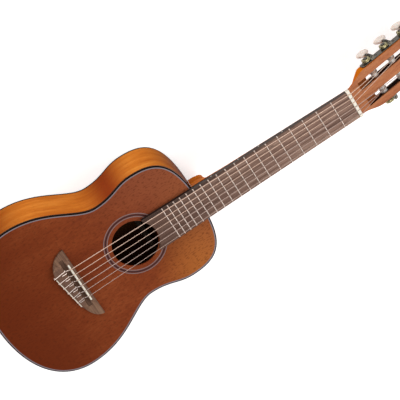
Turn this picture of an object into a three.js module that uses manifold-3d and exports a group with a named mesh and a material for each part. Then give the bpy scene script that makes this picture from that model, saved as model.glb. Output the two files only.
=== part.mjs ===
// Guitalele: a small six-string guitar with nylon strings and a slotted head.
// Lengths are millimetres. +X is the treble side, +Y runs from the tail to the head, and +Z leaves the
// soundboard. The origin is on the outside of the flat back, on the centre line, under the saddle.
import * as THREE from 'three';
import { mergeVertices } from 'three/addons/utils/BufferGeometryUtils.js';
import Module from 'manifold-3d';

const wasm = await Module();
wasm.setup();

// Scale and strings, the sixth string first
const scaleLength = 433;
const fretCount = 19;
const bodyFret = 14;
const sixthString = 1.09;
const fifthString = 0.89;
const fourthString = 0.74;
const thirdString = 1.03;
const secondString = 0.82;
const firstString = 0.71;
const stringSpreadAtSaddle = 47;
const stringSpreadAtNut = 33;

// Clearances
const glueLine = 0.1;
const seatGap = 0.3;
const runningGap = 0.25;
const overrun = 2;

// Body outline: distances from the saddle line, and full widths
const tailFromSaddle = 126.6;
const lowerBoutFromSaddle = 44.9;
const waistFromSaddle = 71.7;
const upperBoutFromSaddle = 132.7;
const lowerBoutWidth = 231;
const waistWidth = 149.4;
const upperBoutWidth = 171.8;
const tailRoundShares = [0.593, 0.634];
const hipRoundShares = [0.508, 0.235];
const chestRoundShares = [0.49, 0.394];
const shoulderRoundShares = [0.69, 0.8];
const rimSteps = 8;
const flareSteps = 64;

// Body shell
const bodyDepth = 78;
const soundboardThickness = 2.5;
const backThickness = 2.5;
const sideThickness = 2.2;
const bindingThickness = 2;
const topBindingHeight = 5;
const backBindingHeight = 4;
const liningHeight = 14;
const liningWidth = 6;
const liningFootWidth = 2.5;

// Soundhole and rosette
const soundholeRadius = 32.2;
const soundholeFromSaddle = 89.9;
const rosetteInnerRadius = 37.9;
const rosetteOuterRadius = 43.6;
const rosetteDepth = 1.2;
const roundSegments = 36;

// Blocks and braces inside the body
const neckBlockWidth = 62;
const neckBlockLength = 44;
const tailBlockWidth = 58;
const tailBlockLength = 14;
const braceWidth = 7;
const topBraceHeight = 13;
const backBraceHeight = 11;
const braceTipHeight = 2.5;
const braceTipLength = 26;
const upperBraceFromBlock = 12.7;
const lowerBraceFromSaddle = 47;
const upperBackBraceFromSaddle = 106;
const lowerBackBraceFromSaddle = -28;
const fanBraceWidth = 5;
const fanBraceHeight = 7;
const fanBraceTipHeight = 2;
const fanBraceTipLength = 18;
const fanBraceSpacing = 34;
const fanBraceFront = 38;
const fanBraceRear = -98;
const fanSplay = 5;
const patchWidth = 128;
const patchFront = 8;
const patchRear = -30;
const patchThickness = 2;

// Fretboard and frets
const fretboardThickness = 6;
const widthAtNut = 42;
const widthAtLastFret = 50.4;
const fretboardEndFromSaddle = 113.4;
const holeMargin = 2;
const fretWidth = 2.4;
const fretHeight = 1.1;
const fretEndInset = 0.9;
const fretTangDepth = 0.6;
const fretCrownSteps = 5;

// Neck shaft and heel
const shaftDepthAtNut = 15;
const shaftDepthAtHeel = 17.5;
const shaftRoundPower = 1.2;
const shaftSides = 12;
const heelFoot = 8;
const heelCapHalfWidth = 5.5;
const heelCapLength = 20;
const heelReach = 60;
const heelTopHalfWidth = 19.5;
const heelTopDepthShare = 0.6;
const heelSweepPower = 2.2;
const heelFlarePower = 1.6;
const heelRoundPower = 0.55;
const heelLevels = 8;
const heelSides = 12;
const throatLength = 20;

// Nut and saddle
const nutThickness = 5;
const nutHeight = 8.8;
const nutBackHeight = 7.4;
const nutTopDepth = 2;
const nutSlotHeight = 7.6;
const saddleThickness = 2.6;
const saddleLength = 61;
const saddleHeight = 9.2;
const saddleSlotDepth = 4.6;
const saddleCrown = 0.7;
const stringRest = 0.12;

// Bridge: the tail edge runs aslant, so the tie block is deeper under the bass strings
const bridgeFront = 4.8;
const bassTip = 50.5;
const trebleTip = 59.5;
const wingThickness = 3.2;
const blockHeight = 8.4;
const blockHalfWidth = 32;
const blockRearAtCentre = 21.6;
const blockRearSlantShare = 0.15;
const blockShoulderRun = 7;
const blockShoulderShares = [0.33, 0.5];
const bassWingShares = [[0.03, 0.48], [0.42, 0.92]];
const trebleWingShares = [[0, 0.6], [0.46, 0.82]];
const tieBlockFront = 8.6;
const tieGrooveBottom = 2.6;
const saddleRidgeHeight = 6.4;
const stringHoleHeight = 4.9;
const stringHoleRadius = 0.95;
const trimWidth = 1.6;
const trimHeight = 1.4;
const trimBassEnd = 21;
const wingSteps = 6;

// Head, set back at an angle behind the nut
const headTilt = 15;
const headThickness = 14;
const headHalfWidth = 29.3;
const headLength = 134;
const headShoulderLength = 37;
const headCrest = 9;
const headShoulderShares = [0.38, 0.55];
const headCrestShare = 0.55;
const veneerThickness = 1.5;
const slotWidth = 11.5;
const slotFromCentre = 13;
const slotStart = 31;
const slotEndFromTip = 14.5;
const headCurveSteps = 4;
const rampStart = 15;
const rampDepth = 5;
const undercutWidth = 6.8;
const undercutHeight = 13;
const undercutStraight = 14.5;
const undercutEnd = 30.5;

// Tuning machines, three on a plate
const tunersPerSide = 3;
const firstTuner = 45.5;
const lastTunerFromTip = 25.5;
const rollerDepth = 7;
const rollerRadius = 5;
const rollerWaistRadius = 4.5;
const rollerWaistMargin = 0.5;
const rollerEndFromCentre = 3;
const journalRadius = 2.2;
const retainerRadius = 3.2;
const retainerHeight = 1.2;
const rollerSides = 12;
const plateThickness = 1.2;
const plateHeight = 12;
const plateStart = 34.5;
const plateEndFromTip = 15.5;
const plateCornerRadius = 3;
const earThickness = 1.2;
const earRadius = 3.1;
const cornerSteps = 2;
const gearTeeth = 14;
const gearModule = 0.8;
const gearWidth = 4;
const gearToPlate = 1.4;
const gearAddendum = 0.64;
const gearDedendum = 0.8;
const toothRootShare = 0.56;
const toothTipShare = 0.22;
const wormPitchRadius = 2.4;
const wormAddendum = 0.6;
const wormDedendum = 0.8;
const threadRootShare = 0.56;
const threadTipShare = 0.24;
const threadSink = 0.2;
const threadHalfLength = 4.1;
const threadStepsPerTurn = 9;
const wormJournalRadius = 1.5;
const wormCollarRadius = 2.6;
const wormCollarHeight = 1.4;
const wormEndAboveEar = 0.8;
const shankRadius = 1.6;
const boreSides = 8;
const buttonGap = 5;
const buttonSocketDepth = 7;
const buttonLength = 16;
const buttonHalfWidth = 9.6;
const buttonHalfThickness = 3.9;
const buttonHeightShares = [0, 0.14, 0.4, 0.66, 0.88, 1];
const buttonWidthShares = [0.36, 0.55, 0.88, 1, 0.82, 0.4];
const buttonThicknessShares = [0.66, 0.82, 0.96, 1, 0.78, 0.4];
const buttonSides = 12;

// Winding of a string on its roller
const coilTurns = 2;
const coilStepsPerTurn = 16;
const coilGap = 0.35;
const coilSpacing = 0.6;
const stringSides = 6;
const tieSpacing = 0.8;
const tieTailLength = 6;
const tieArcSteps = 2;

// Sizes that follow from the ones above
const jointY = fretPlace(bodyFret);
const nutFrontY = scaleLength;
const nutBackY = scaleLength + nutThickness;
const neckTop = bodyDepth;
const neckBlockFace = jointY - sideThickness - neckBlockLength;
const fretboardTop = neckTop + fretboardThickness;
const soundboardUnderside = bodyDepth - soundboardThickness;
const centreDistance = (gearTeeth * gearModule) / 2 + wormPitchRadius;
const threadPitch = Math.PI * gearModule;
const gearPitchRadius = (gearTeeth * gearModule) / 2;
const plateInner = headHalfWidth + seatGap;
const plateOuter = plateInner + plateThickness;
const gearMiddle = plateOuter + gearToPlate + gearWidth / 2;
const headSideEnd = headLength - headCrest;
const slotEnd = headLength - slotEndFromTip;
const plateEnd = headLength - plateEndFromTip;
const tunerSpacing = (headLength - lastTunerFromTip - firstTuner) / (tunersPerSide - 1);
const stringDiameters = [sixthString, fifthString, fourthString, thirdString, secondString, firstString];
const stringNames = ['sixth', 'fifth', 'fourth', 'third', 'second', 'first'];

const finish = (color, roughness, metalness = 0) =>
  new THREE.MeshStandardMaterial({ color, roughness, metalness });
const mahoganyTop = () => finish('#7c3a1f', 0.45);
const glossMahogany = () => finish('#b25a22', 0.25);
const neckMahogany = () => finish('#a85424', 0.3);
const headOverlay = () => finish('#a4603e', 0.4);
const rosewood = () => finish('#6f5042', 0.55);
const bareSpruce = () => finish('#d9bd8c', 0.8);
const bareMahogany = () => finish('#9a5f3c', 0.8);
const blackBinding = () => finish('#1d1614', 0.35);
const rosetteInlay = () => finish('#8e8490', 0.4);
const whiteTrim = () => finish('#e6ddd0', 0.4);
const bone = () => finish('#eee6d6', 0.35);
const nylon = () => finish('#e2cfc0', 0.3);
const woundNylon = () => finish('#c9b8a8', 0.35, 0.5);
const nickel = () => finish('#8d8a80', 0.3, 1);
const brass = () => finish('#a8924e', 0.3, 1);
const rollerPlastic = () => finish('#ece7df', 0.35);
const pearloid = () => finish('#efdfd4', 0.2);

// The place of a fret: each one leaves the twelfth root of a half of what is left of the scale.
function fretPlace(fret) {
  return scaleLength * 2 ** (-fret / 12);
}

function radians(degrees) {
  return THREE.MathUtils.degToRad(degrees);
}

function bufferOf(positions, indices) {
  const geometry = new THREE.BufferGeometry();
  geometry.setAttribute('position', new THREE.Float32BufferAttribute(positions, 3));
  geometry.setIndex(indices);
  return geometry;
}

// Six times the volume that the triangles enclose, negative when they face inwards
function signedVolume(positions, indices) {
  const corner = (i) => new THREE.Vector3().fromArray(positions, indices[i] * 3);
  let total = 0;
  for (let i = 0; i < indices.length; i += 3) {
    total += corner(i).dot(corner(i + 1).cross(corner(i + 2)));
  }
  return total;
}

// A closed skin over rings of points that follow each other: flat ends, or a ring that meets itself
function loft(rings, closed = false) {
  const count = rings[0].length;
  const positions = rings.flat().flatMap((point) => [point.x, point.y, point.z]);
  const indices = [];
  const spans = closed ? rings.length : rings.length - 1;
  for (let ring = 0; ring < spans; ring++) {
    const here = ring * count;
    const next = ((ring + 1) % rings.length) * count;
    for (let i = 0; i < count; i++) {
      const j = (i + 1) % count;
      indices.push(here + i, here + j, next + j);
      indices.push(here + i, next + j, next + i);
    }
  }
  if (!closed) {
    const base = spans * count;
    for (let i = 1; i < count - 1; i++) {
      indices.push(0, i + 1, i);
      indices.push(base, base + i, base + i + 1);
    }
  }
  if (signedVolume(positions, indices) < 0) {
    indices.reverse();
  }
  return bufferOf(positions, indices);
}

// A round tube along points, its section carried on without twist
function sweptTube(points, diameter, sides) {
  const rings = [];
  const direction = (i) =>
    points[Math.min(i + 1, points.length - 1)].clone().sub(points[Math.max(i - 1, 0)]).normalize();
  let across = new THREE.Vector3(1, 0, 0);
  for (let i = 0; i < points.length; i++) {
    const ahead = direction(i);
    across = across.addScaledVector(ahead, -across.dot(ahead)).normalize();
    const up = ahead.clone().cross(across);
    const ring = [];
    for (let side = 0; side < sides; side++) {
      const angle = (side / sides) * 2 * Math.PI;
      ring.push(points[i].clone()
        .addScaledVector(across, (Math.cos(angle) * diameter) / 2)
        .addScaledVector(up, (Math.sin(angle) * diameter) / 2));
    }
    rings.push(ring);
  }
  return loft(rings);
}

function toSolid(geometry) {
  const bare = geometry.clone();
  bare.deleteAttribute('normal');
  bare.deleteAttribute('uv');
  const merged = mergeVertices(bare);
  return new wasm.Manifold(new wasm.Mesh({
    numProp: 3,
    vertProperties: Float32Array.from(merged.attributes.position.array),
    triVerts: Uint32Array.from(merged.index.array),
  }));
}

function toGeometry(solid) {
  const { vertProperties, triVerts } = solid.getMesh();
  return bufferOf(Array.from(vertProperties), Array.from(triVerts));
}

function cut(body, ...tools) {
  return toGeometry(tools.reduce((left, tool) => left.subtract(toSolid(tool)), toSolid(body)));
}

function join(body, ...others) {
  return toGeometry(others.reduce((left, other) => left.add(toSolid(other)), toSolid(body)));
}

function extrude(shape, depth, curveSegments = 1) {
  return new THREE.ExtrudeGeometry(shape, { depth, bevelEnabled: false, curveSegments });
}

// A box between two corners
function block(low, high) {
  const size = high.map((value, axis) => value - low[axis]);
  const geometry = new THREE.BoxGeometry(...size);
  return geometry.translate(...high.map((value, axis) => (value + low[axis]) / 2));
}

// A round bar along X
function barAlongX(radius, from, to, sides) {
  const geometry = new THREE.CylinderGeometry(radius, radius, Math.abs(to - from), sides);
  return geometry.rotateZ(Math.PI / 2).translate((from + to) / 2, 0, 0);
}

// A round bar along Y
function barAlongY(radius, from, to, sides) {
  const geometry = new THREE.CylinderGeometry(radius, radius, Math.abs(to - from), sides);
  return geometry.translate(0, (from + to) / 2, 0);
}

// A round bar along Z
function barAlongZ(radius, from, to, sides) {
  const geometry = new THREE.CylinderGeometry(radius, radius, Math.abs(to - from), sides);
  return geometry.rotateX(Math.PI / 2).translate(0, 0, (from + to) / 2);
}

// An outline drawn in Y and Z, given its thickness along X and centred on x = 0
function plateAcrossX(points, width) {
  const shape = new THREE.Shape(points.map(([y, z]) => new THREE.Vector2(y, z)));
  const geometry = extrude(shape, width);
  return geometry.applyMatrix4(new THREE.Matrix4().set(
    0, 0, 1, -width / 2,
    1, 0, 0, 0,
    0, 1, 0, 0,
    0, 0, 0, 1,
  ));
}

// An outline drawn in X and Z, given its thickness along Y and centred on y = 0
function plateAcrossY(points, width) {
  const shape = new THREE.Shape(points.map(([x, z]) => new THREE.Vector2(x, z)));
  return extrude(shape, width).rotateX(Math.PI / 2).translate(0, width / 2, 0);
}

function piece(name, geometry, material) {
  const mesh = new THREE.Mesh(geometry, material);
  mesh.name = name;
  return mesh;
}

function cubic(start, startHandle, endHandle, end) {
  const corners = [start, startHandle, endHandle, end].map(([x, y]) => new THREE.Vector2(x, y));
  return new THREE.CubicBezierCurve(...corners);
}

// The treble half of the outline, tail to neck: each stretch ends level or upright where the next begins
function rimStretches() {
  const lower = lowerBoutWidth / 2;
  const waist = waistWidth / 2;
  const upper = upperBoutWidth / 2;
  const hip = waistFromSaddle + lowerBoutFromSaddle;
  const chest = upperBoutFromSaddle - waistFromSaddle;
  const shoulder = jointY - upperBoutFromSaddle;
  const tail = tailFromSaddle - lowerBoutFromSaddle;
  return [
    cubic([0, -tailFromSaddle], [lower * tailRoundShares[0], -tailFromSaddle],
      [lower, -lowerBoutFromSaddle - tail * tailRoundShares[1]], [lower, -lowerBoutFromSaddle]),
    cubic([lower, -lowerBoutFromSaddle], [lower, -lowerBoutFromSaddle + hip * hipRoundShares[0]],
      [waist, waistFromSaddle - hip * hipRoundShares[1]], [waist, waistFromSaddle]),
    cubic([waist, waistFromSaddle], [waist, waistFromSaddle + chest * chestRoundShares[0]],
      [upper, upperBoutFromSaddle - chest * chestRoundShares[1]], [upper, upperBoutFromSaddle]),
    cubic([upper, upperBoutFromSaddle], [upper, upperBoutFromSaddle + shoulder * shoulderRoundShares[0]],
      [upper * shoulderRoundShares[1], jointY], [0, jointY]),
  ];
}

// Places on the treble half of the outline, each with the direction that leads into the body
function trebleRim() {
  const stations = [];
  rimStretches().forEach((curve, stretch) => {
    for (let step = stretch === 0 ? 0 : 1; step <= rimSteps; step++) {
      const place = curve.getPoint(step / rimSteps);
      const along = curve.getTangent(step / rimSteps);
      stations.push({ place, inward: new THREE.Vector2(-along.y, along.x) });
    }
  });
  return stations;
}

function rimPoint(station, inset, side = 1) {
  const point = station.place.clone().addScaledVector(station.inward, inset);
  return new THREE.Vector2(point.x * side, point.y);
}

// The whole outline, drawn in from the edge by an inset
function outlinePoints(inset) {
  const treble = trebleRim().map((station) => rimPoint(station, inset));
  treble[0].x = 0;
  treble[treble.length - 1].x = 0;
  const bass = treble.slice(1, -1).reverse().map((point) => new THREE.Vector2(-point.x, point.y));
  return [...treble, ...bass];
}

// The inside half width of the body at a distance from the saddle line
function halfWidthAt(y, inset) {
  const points = trebleRim().map((station) => rimPoint(station, inset));
  const after = points.findIndex((point) => point.y >= y);
  const [low, high] = [points[after - 1], points[after]];
  return THREE.MathUtils.mapLinear(y, low.y, high.y, low.x, high.x);
}

// A band that follows the outline, its section given as inset and height
function bandHalf(section, side, keep = () => true) {
  const stations = trebleRim().filter(keep);
  const rings = stations.map((station) => section.map(([inset, z]) => {
    const point = rimPoint(station, inset, side);
    const onAxis = station.place.x < glueLine;
    return new THREE.Vector3(onAxis ? 0 : point.x, point.y, z);
  }));
  return loft(rings);
}

function bandAround(section) {
  const outlines = section.map(([inset]) => outlinePoints(inset));
  const rings = outlines[0].map((_, i) =>
    section.map(([, z], corner) => new THREE.Vector3(outlines[corner][i].x, outlines[corner][i].y, z)));
  return loft(rings, true);
}

function rectangleSection(insetOut, insetIn, low, high) {
  return [[insetOut, low], [insetIn, low], [insetIn, high], [insetOut, high]];
}

function circlePoints(x, y, radius, sides) {
  return Array.from({ length: sides }, (_, side) => {
    const angle = (side / sides) * 2 * Math.PI;
    return new THREE.Vector2(x + radius * Math.cos(angle), y + radius * Math.sin(angle));
  });
}

function circleHole(x, y, radius, sides) {
  return new THREE.Path(circlePoints(x, y, radius, sides));
}

function ringShape(x, y, outer, inner) {
  const shape = new THREE.Shape(circlePoints(x, y, outer, roundSegments));
  shape.holes.push(circleHole(x, y, inner, roundSegments));
  return shape;
}

// Both plates lie inside the binding
function plateOutline() {
  return new THREE.Shape(outlinePoints(bindingThickness + glueLine));
}

function soundboard() {
  const outline = plateOutline();
  outline.holes.push(circleHole(0, soundholeFromSaddle, soundholeRadius, roundSegments));
  const board = extrude(outline, soundboardThickness).translate(0, 0, soundboardUnderside);
  const channelShape = ringShape(0, soundholeFromSaddle,
    rosetteOuterRadius + glueLine, rosetteInnerRadius - glueLine);
  const channel = extrude(channelShape, rosetteDepth + overrun);
  return piece('soundboard', cut(board, channel.translate(0, 0, bodyDepth - rosetteDepth)), mahoganyTop());
}

function rosette() {
  const shape = ringShape(0, soundholeFromSaddle, rosetteOuterRadius, rosetteInnerRadius);
  const ring = extrude(shape, rosetteDepth).translate(0, 0, bodyDepth - rosetteDepth);
  return piece('rosette', ring, rosetteInlay());
}

function backPlate() {
  return piece('back_plate', extrude(plateOutline(), backThickness), glossMahogany());
}

function sides() {
  const section = rectangleSection(0, sideThickness, backBindingHeight, bodyDepth - topBindingHeight);
  return [
    piece('side_bass', bandHalf(section, -1), glossMahogany()),
    piece('side_treble', bandHalf(section, 1), glossMahogany()),
  ];
}

function bindings() {
  const top = rectangleSection(0, bindingThickness, bodyDepth - topBindingHeight, bodyDepth);
  const back = rectangleSection(0, bindingThickness, 0, backBindingHeight);
  return [
    piece('top_binding', bandAround(top), blackBinding()),
    piece('back_binding', bandAround(back), blackBinding()),
  ];
}

// Linings widen towards the plate that they carry, and stop at the end blocks.
function linings() {
  const outer = sideThickness + glueLine;
  const insideBlocks = (station) => {
    const blockWidth = station.place.y > 0 ? neckBlockWidth : tailBlockWidth;
    return rimPoint(station, outer + liningWidth).x > blockWidth / 2 + glueLine;
  };
  const sectionAt = (plateFace, reach) => [
    [outer, plateFace], [outer + liningWidth, plateFace],
    [outer + liningFootWidth, plateFace + reach], [outer, plateFace + reach],
  ];
  const top = sectionAt(soundboardUnderside, -liningHeight);
  const back = sectionAt(backThickness, liningHeight);
  return [
    piece('top_lining_bass', bandHalf(top, -1, insideBlocks), bareSpruce()),
    piece('top_lining_treble', bandHalf(top, 1, insideBlocks), bareSpruce()),
    piece('back_lining_bass', bandHalf(back, -1, insideBlocks), bareSpruce()),
    piece('back_lining_treble', bandHalf(back, 1, insideBlocks), bareSpruce()),
  ];
}

// Where the outline, drawn in by an inset, crosses a distance from the centre line
function edgeAt(x, inset, atTail) {
  const points = trebleRim().map((station) => rimPoint(station, inset));
  const outwards = atTail ? points : points.reverse();
  const after = outwards.findIndex((point) => point.x >= x);
  const [near, far] = [outwards[after - 1], outwards[after]];
  return THREE.MathUtils.mapLinear(x, near.x, far.x, near.y, far.y);
}

// An end block fills the space between the plates behind the sides, and follows their curve.
function endBlock(width, length, atTail) {
  const inset = sideThickness + glueLine;
  const curve = outlinePoints(inset).filter((point) =>
    Math.abs(point.x) < width / 2 && (point.y < 0) === atTail);
  curve.sort((a, b) => a.x - b.x);
  const end = edgeAt(width / 2, inset, atTail);
  const innerFace = atTail ? -tailFromSaddle + sideThickness + length : neckBlockFace;
  const corner = (x, y) => new THREE.Vector2(x, y);
  const shape = new THREE.Shape([
    corner(-width / 2, innerFace), corner(-width / 2, end), ...curve,
    corner(width / 2, end), corner(width / 2, innerFace),
  ]);
  return extrude(shape, soundboardUnderside - backThickness).translate(0, 0, backThickness);
}

function endBlocks() {
  return [
    piece('neck_block', endBlock(neckBlockWidth, neckBlockLength, false), bareMahogany()),
    piece('tail_block', endBlock(tailBlockWidth, tailBlockLength, true), bareMahogany()),
  ];
}

// A brace glued on edge to a plate: full height in the middle, drawn down to thin tips
function braceProfile(from, to, face, height, tipHeight, tipLength) {
  return [
    [from, face], [to, face], [to, face + tipHeight],
    [to - tipLength, face + height], [from + tipLength, face + height], [from, face + tipHeight],
  ];
}

function crossBrace(name, y, face, height) {
  const tipHeight = braceTipHeight * Math.sign(height);
  const inset = sideThickness + liningWidth + seatGap + glueLine;
  const edges = [y - braceWidth / 2, y + braceWidth / 2];
  const half = Math.min(...edges.map((edge) => halfWidthAt(edge, inset)));
  const profile = braceProfile(-half, half, face, height, tipHeight, braceTipLength);
  return piece(name, plateAcrossY(profile, braceWidth).translate(0, y, 0), bareSpruce());
}

function crossBraces() {
  const upperBrace = neckBlockFace - upperBraceFromBlock;
  return [
    crossBrace('upper_transverse_brace', upperBrace, soundboardUnderside, -topBraceHeight),
    crossBrace('lower_transverse_brace', lowerBraceFromSaddle, soundboardUnderside, -topBraceHeight),
    crossBrace('upper_back_brace', upperBackBraceFromSaddle, backThickness, backBraceHeight),
    crossBrace('lower_back_brace', lowerBackBraceFromSaddle, backThickness, backBraceHeight),
  ];
}

function bridgePatch() {
  const low = [-patchWidth / 2, patchRear, soundboardUnderside - patchThickness];
  return piece('bridge_patch', block(low, [patchWidth / 2, patchFront, soundboardUnderside]), bareSpruce());
}

// The fan braces spread towards the tail and are notched over the bridge patch.
function fanBraces() {
  const profile = braceProfile(fanBraceRear, fanBraceFront, soundboardUnderside,
    -fanBraceHeight, -fanBraceTipHeight, fanBraceTipLength);
  const margin = fanBraceWidth * Math.sin(radians(fanSplay)) + seatGap;
  const notch = block(
    [-fanBraceWidth, patchRear - margin, soundboardUnderside - patchThickness - glueLine],
    [fanBraceWidth, patchFront + margin, soundboardUnderside + overrun],
  );
  return ['bass', 'centre', 'treble'].map((place, i) => {
    const brace = cut(plateAcrossX(profile, fanBraceWidth), notch);
    brace.rotateZ(radians(fanSplay * (i - 1))).translate(fanBraceSpacing * (i - 1), 0, 0);
    return piece(`fan_brace_${place}`, brace, bareSpruce());
  });
}

function boardHalfWidth(y) {
  return THREE.MathUtils.mapLinear(y, nutFrontY, fretPlace(fretCount), widthAtNut, widthAtLastFret) / 2;
}

// The board tapers to the nut, and its low end is cut to an arc round the soundhole.
function fretboardBlank() {
  const ends = [fretboardEndFromSaddle, nutFrontY];
  const corners = ends.flatMap((y, end) => {
    const right = new THREE.Vector2(boardHalfWidth(y), y);
    const left = new THREE.Vector2(-boardHalfWidth(y), y);
    return end === 0 ? [left, right] : [right, left];
  });
  const board = extrude(new THREE.Shape(corners), fretboardThickness).translate(0, 0, neckTop);
  const arc = circlePoints(0, soundholeFromSaddle, soundholeRadius + holeMargin, roundSegments);
  const bite = extrude(new THREE.Shape(arc), fretboardThickness + 2 * overrun);
  return cut(board, bite.translate(0, 0, neckTop - overrun));
}

// A fret is a low crown with its tang let into the wood.
function fret(number) {
  const y = fretPlace(number);
  const crown = [];
  for (let step = 0; step <= fretCrownSteps; step++) {
    const angle = (step / fretCrownSteps) * Math.PI;
    crown.push([(Math.cos(angle) * fretWidth) / 2, Math.sin(angle) * fretHeight]);
  }
  const profile = [...crown, [-fretWidth / 2, -fretTangDepth], [fretWidth / 2, -fretTangDepth]];
  const length = 2 * (boardHalfWidth(y) - fretEndInset);
  return plateAcrossX(profile, length).translate(0, y, fretboardTop);
}

function fretboard() {
  const frets = Array.from({ length: fretCount }, (_, i) => fret(i + 1));
  return piece('fretboard', join(fretboardBlank(), ...frets), rosewood());
}

// One ring of the shaft: flat under the fretboard, rounded like a D below
function shaftRing(halfWidth, depth, y, top) {
  const ring = [];
  for (let step = 0; step <= shaftSides; step++) {
    const angle = (step / shaftSides) * Math.PI;
    const drop = Math.sin(angle) ** shaftRoundPower;
    ring.push(new THREE.Vector3(Math.cos(angle) * halfWidth, y, top - drop * depth));
  }
  return ring;
}

// The shaft thins towards the nut and its back fades into the head over the throat.
function shaft() {
  const places = [jointY + seatGap, jointY + heelReach, (jointY + nutFrontY) / 2, nutFrontY, nutBackY];
  const rings = places.map((y) => {
    const depth = THREE.MathUtils.mapLinear(y, nutFrontY, jointY, shaftDepthAtNut, shaftDepthAtHeel);
    return shaftRing(boardHalfWidth(Math.min(y, nutFrontY)), depth, y, neckTop);
  });
  const headBack = headThickness / Math.cos(radians(headTilt));
  const fall = throatLength * Math.tan(radians(headTilt));
  const half = boardHalfWidth(nutFrontY);
  rings.push(shaftRing(half, headBack, nutBackY + throatLength, neckTop - fall));
  return loft(rings);
}

// The heel is a stack of half-oval plans, narrow at the cap and swept out along the shaft at the top.
function heel() {
  const top = neckTop - shaftDepthAtHeel * heelTopDepthShare;
  const rings = [];
  for (let level = 0; level <= heelLevels; level++) {
    const rise = Math.sqrt(level / heelLevels);
    const halfWidth = THREE.MathUtils.lerp(heelCapHalfWidth, heelTopHalfWidth, rise ** heelFlarePower);
    const reach = THREE.MathUtils.lerp(heelCapLength, heelReach, rise ** heelSweepPower);
    const height = THREE.MathUtils.lerp(heelFoot, top, rise);
    const ring = [];
    for (let step = 0; step <= heelSides; step++) {
      const angle = (step / heelSides) * Math.PI;
      const y = jointY + seatGap + reach * Math.sin(angle) ** heelRoundPower;
      ring.push(new THREE.Vector3(Math.cos(angle) * halfWidth, y, height));
    }
    rings.push(ring);
  }
  return loft(rings);
}

// The head is drawn lying flat, x across and y away from the nut, and its frame then tilts it.
function headOutline() {
  const nutHalf = boardHalfWidth(nutFrontY);
  const shape = new THREE.Shape();
  shape.moveTo(nutHalf, 0);
  shape.bezierCurveTo(nutHalf, headShoulderLength * headShoulderShares[0],
    headHalfWidth, headShoulderLength * headShoulderShares[1], headHalfWidth, headShoulderLength);
  shape.lineTo(headHalfWidth, headSideEnd);
  shape.quadraticCurveTo(headHalfWidth * headCrestShare, headLength, 0, headLength);
  shape.quadraticCurveTo(-headHalfWidth * headCrestShare, headLength, -headHalfWidth, headSideEnd);
  shape.lineTo(-headHalfWidth, headShoulderLength);
  shape.bezierCurveTo(-headHalfWidth, headShoulderLength * headShoulderShares[1],
    -nutHalf, headShoulderLength * headShoulderShares[0], -nutHalf, 0);
  return shape;
}

function slotPath(side) {
  const radius = slotWidth / 2;
  const path = new THREE.Path();
  path.absarc(side * slotFromCentre, slotStart + radius, radius, 0, Math.PI, true);
  path.absarc(side * slotFromCentre, slotEnd - radius, radius, Math.PI, 0, true);
  return path;
}

function slottedHead(thickness) {
  const shape = headOutline();
  shape.holes.push(slotPath(-1), slotPath(1));
  return extrude(shape, thickness, headCurveSteps);
}

// The floor in front of each slot slopes down so that the strings clear it.
function ramps() {
  const run = slotStart + slotWidth / 2 - rampStart;
  const profile = [
    [rampStart, 0], [rampStart + run, -rampDepth], [rampStart + run, overrun], [rampStart, overrun],
  ];
  return [-1, 1].map((side) =>
    plateAcrossX(profile, slotWidth - glueLine).translate(side * slotFromCentre, 0, 0));
}

// Half the width of the flat head at a distance from the nut
function headHalfWidthAt(y) {
  const flare = headOutline().curves[0].getPoints(flareSteps);
  const after = flare.findIndex((point) => point.y > y);
  if (after < 1) {
    return y > 0 ? headHalfWidth : flare[0].x;
  }
  const [low, high] = [flare[after - 1], flare[after]];
  return THREE.MathUtils.mapLinear(y, low.y, high.y, low.x, high.x);
}

// Behind the nut the lower corners are cut away, so that the head takes over the slimness of the neck.
function undercuts() {
  const steepness = undercutHeight / undercutWidth;
  const places = [-overrun, 0, undercutStraight / 2, undercutStraight, undercutEnd];
  return [-1, 1].map((side) => loft(places.map((y) => {
    const share = Math.min(1, (undercutEnd - y) / (undercutEnd - undercutStraight));
    const inner = headHalfWidthAt(y) - undercutWidth * share;
    const ends = [inner - overrun, inner + undercutWidth + overrun];
    const heights = ends.map((x) => -headThickness + (x - inner) * steepness);
    const corners = [[ends[0], heights[0]], [ends[1], heights[1]], [ends[1], heights[0]]];
    return corners.map(([x, z]) => new THREE.Vector3(side * x, y, z));
  })));
}

function tunerPlace(number) {
  return firstTuner + number * tunerSpacing;
}

function rollerBores() {
  const bores = [];
  for (const side of [-1, 1]) {
    for (let number = 0; number < tunersPerSide; number++) {
      const bore = barAlongX(rollerRadius + runningGap, side * (rollerEndFromCentre - runningGap),
        side * (headHalfWidth + overrun), rollerSides);
      bores.push(bore.translate(0, tunerPlace(number), -rollerDepth));
    }
  }
  return bores;
}

function headFrame() {
  const frame = new THREE.Group();
  frame.position.set(0, nutBackY, neckTop);
  frame.rotation.x = -radians(headTilt);
  frame.updateMatrixWorld();
  return frame;
}

// Neck, heel and head are one length of wood.
function neck(frame) {
  const head = slottedHead(headThickness).translate(0, 0, -headThickness);
  const shaped = cut(head, ...undercuts(), ...ramps(), ...rollerBores());
  const whole = join(shaft(), heel(), shaped.applyMatrix4(frame.matrixWorld));
  const abovePlane = block(
    [-headHalfWidth, jointY, neckTop],
    [headHalfWidth, nutBackY + throatLength, neckTop + overrun],
  );
  return piece('neck', cut(whole, abovePlane), neckMahogany());
}

function headVeneer() {
  const sheet = slottedHead(veneerThickness);
  const lifted = cut(sheet, ...ramps()).translate(0, 0, seatGap);
  return piece('head_veneer', lifted, headOverlay());
}

function spread(index, width) {
  return (index / (stringDiameters.length - 1) - 1 / 2) * width;
}

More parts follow.
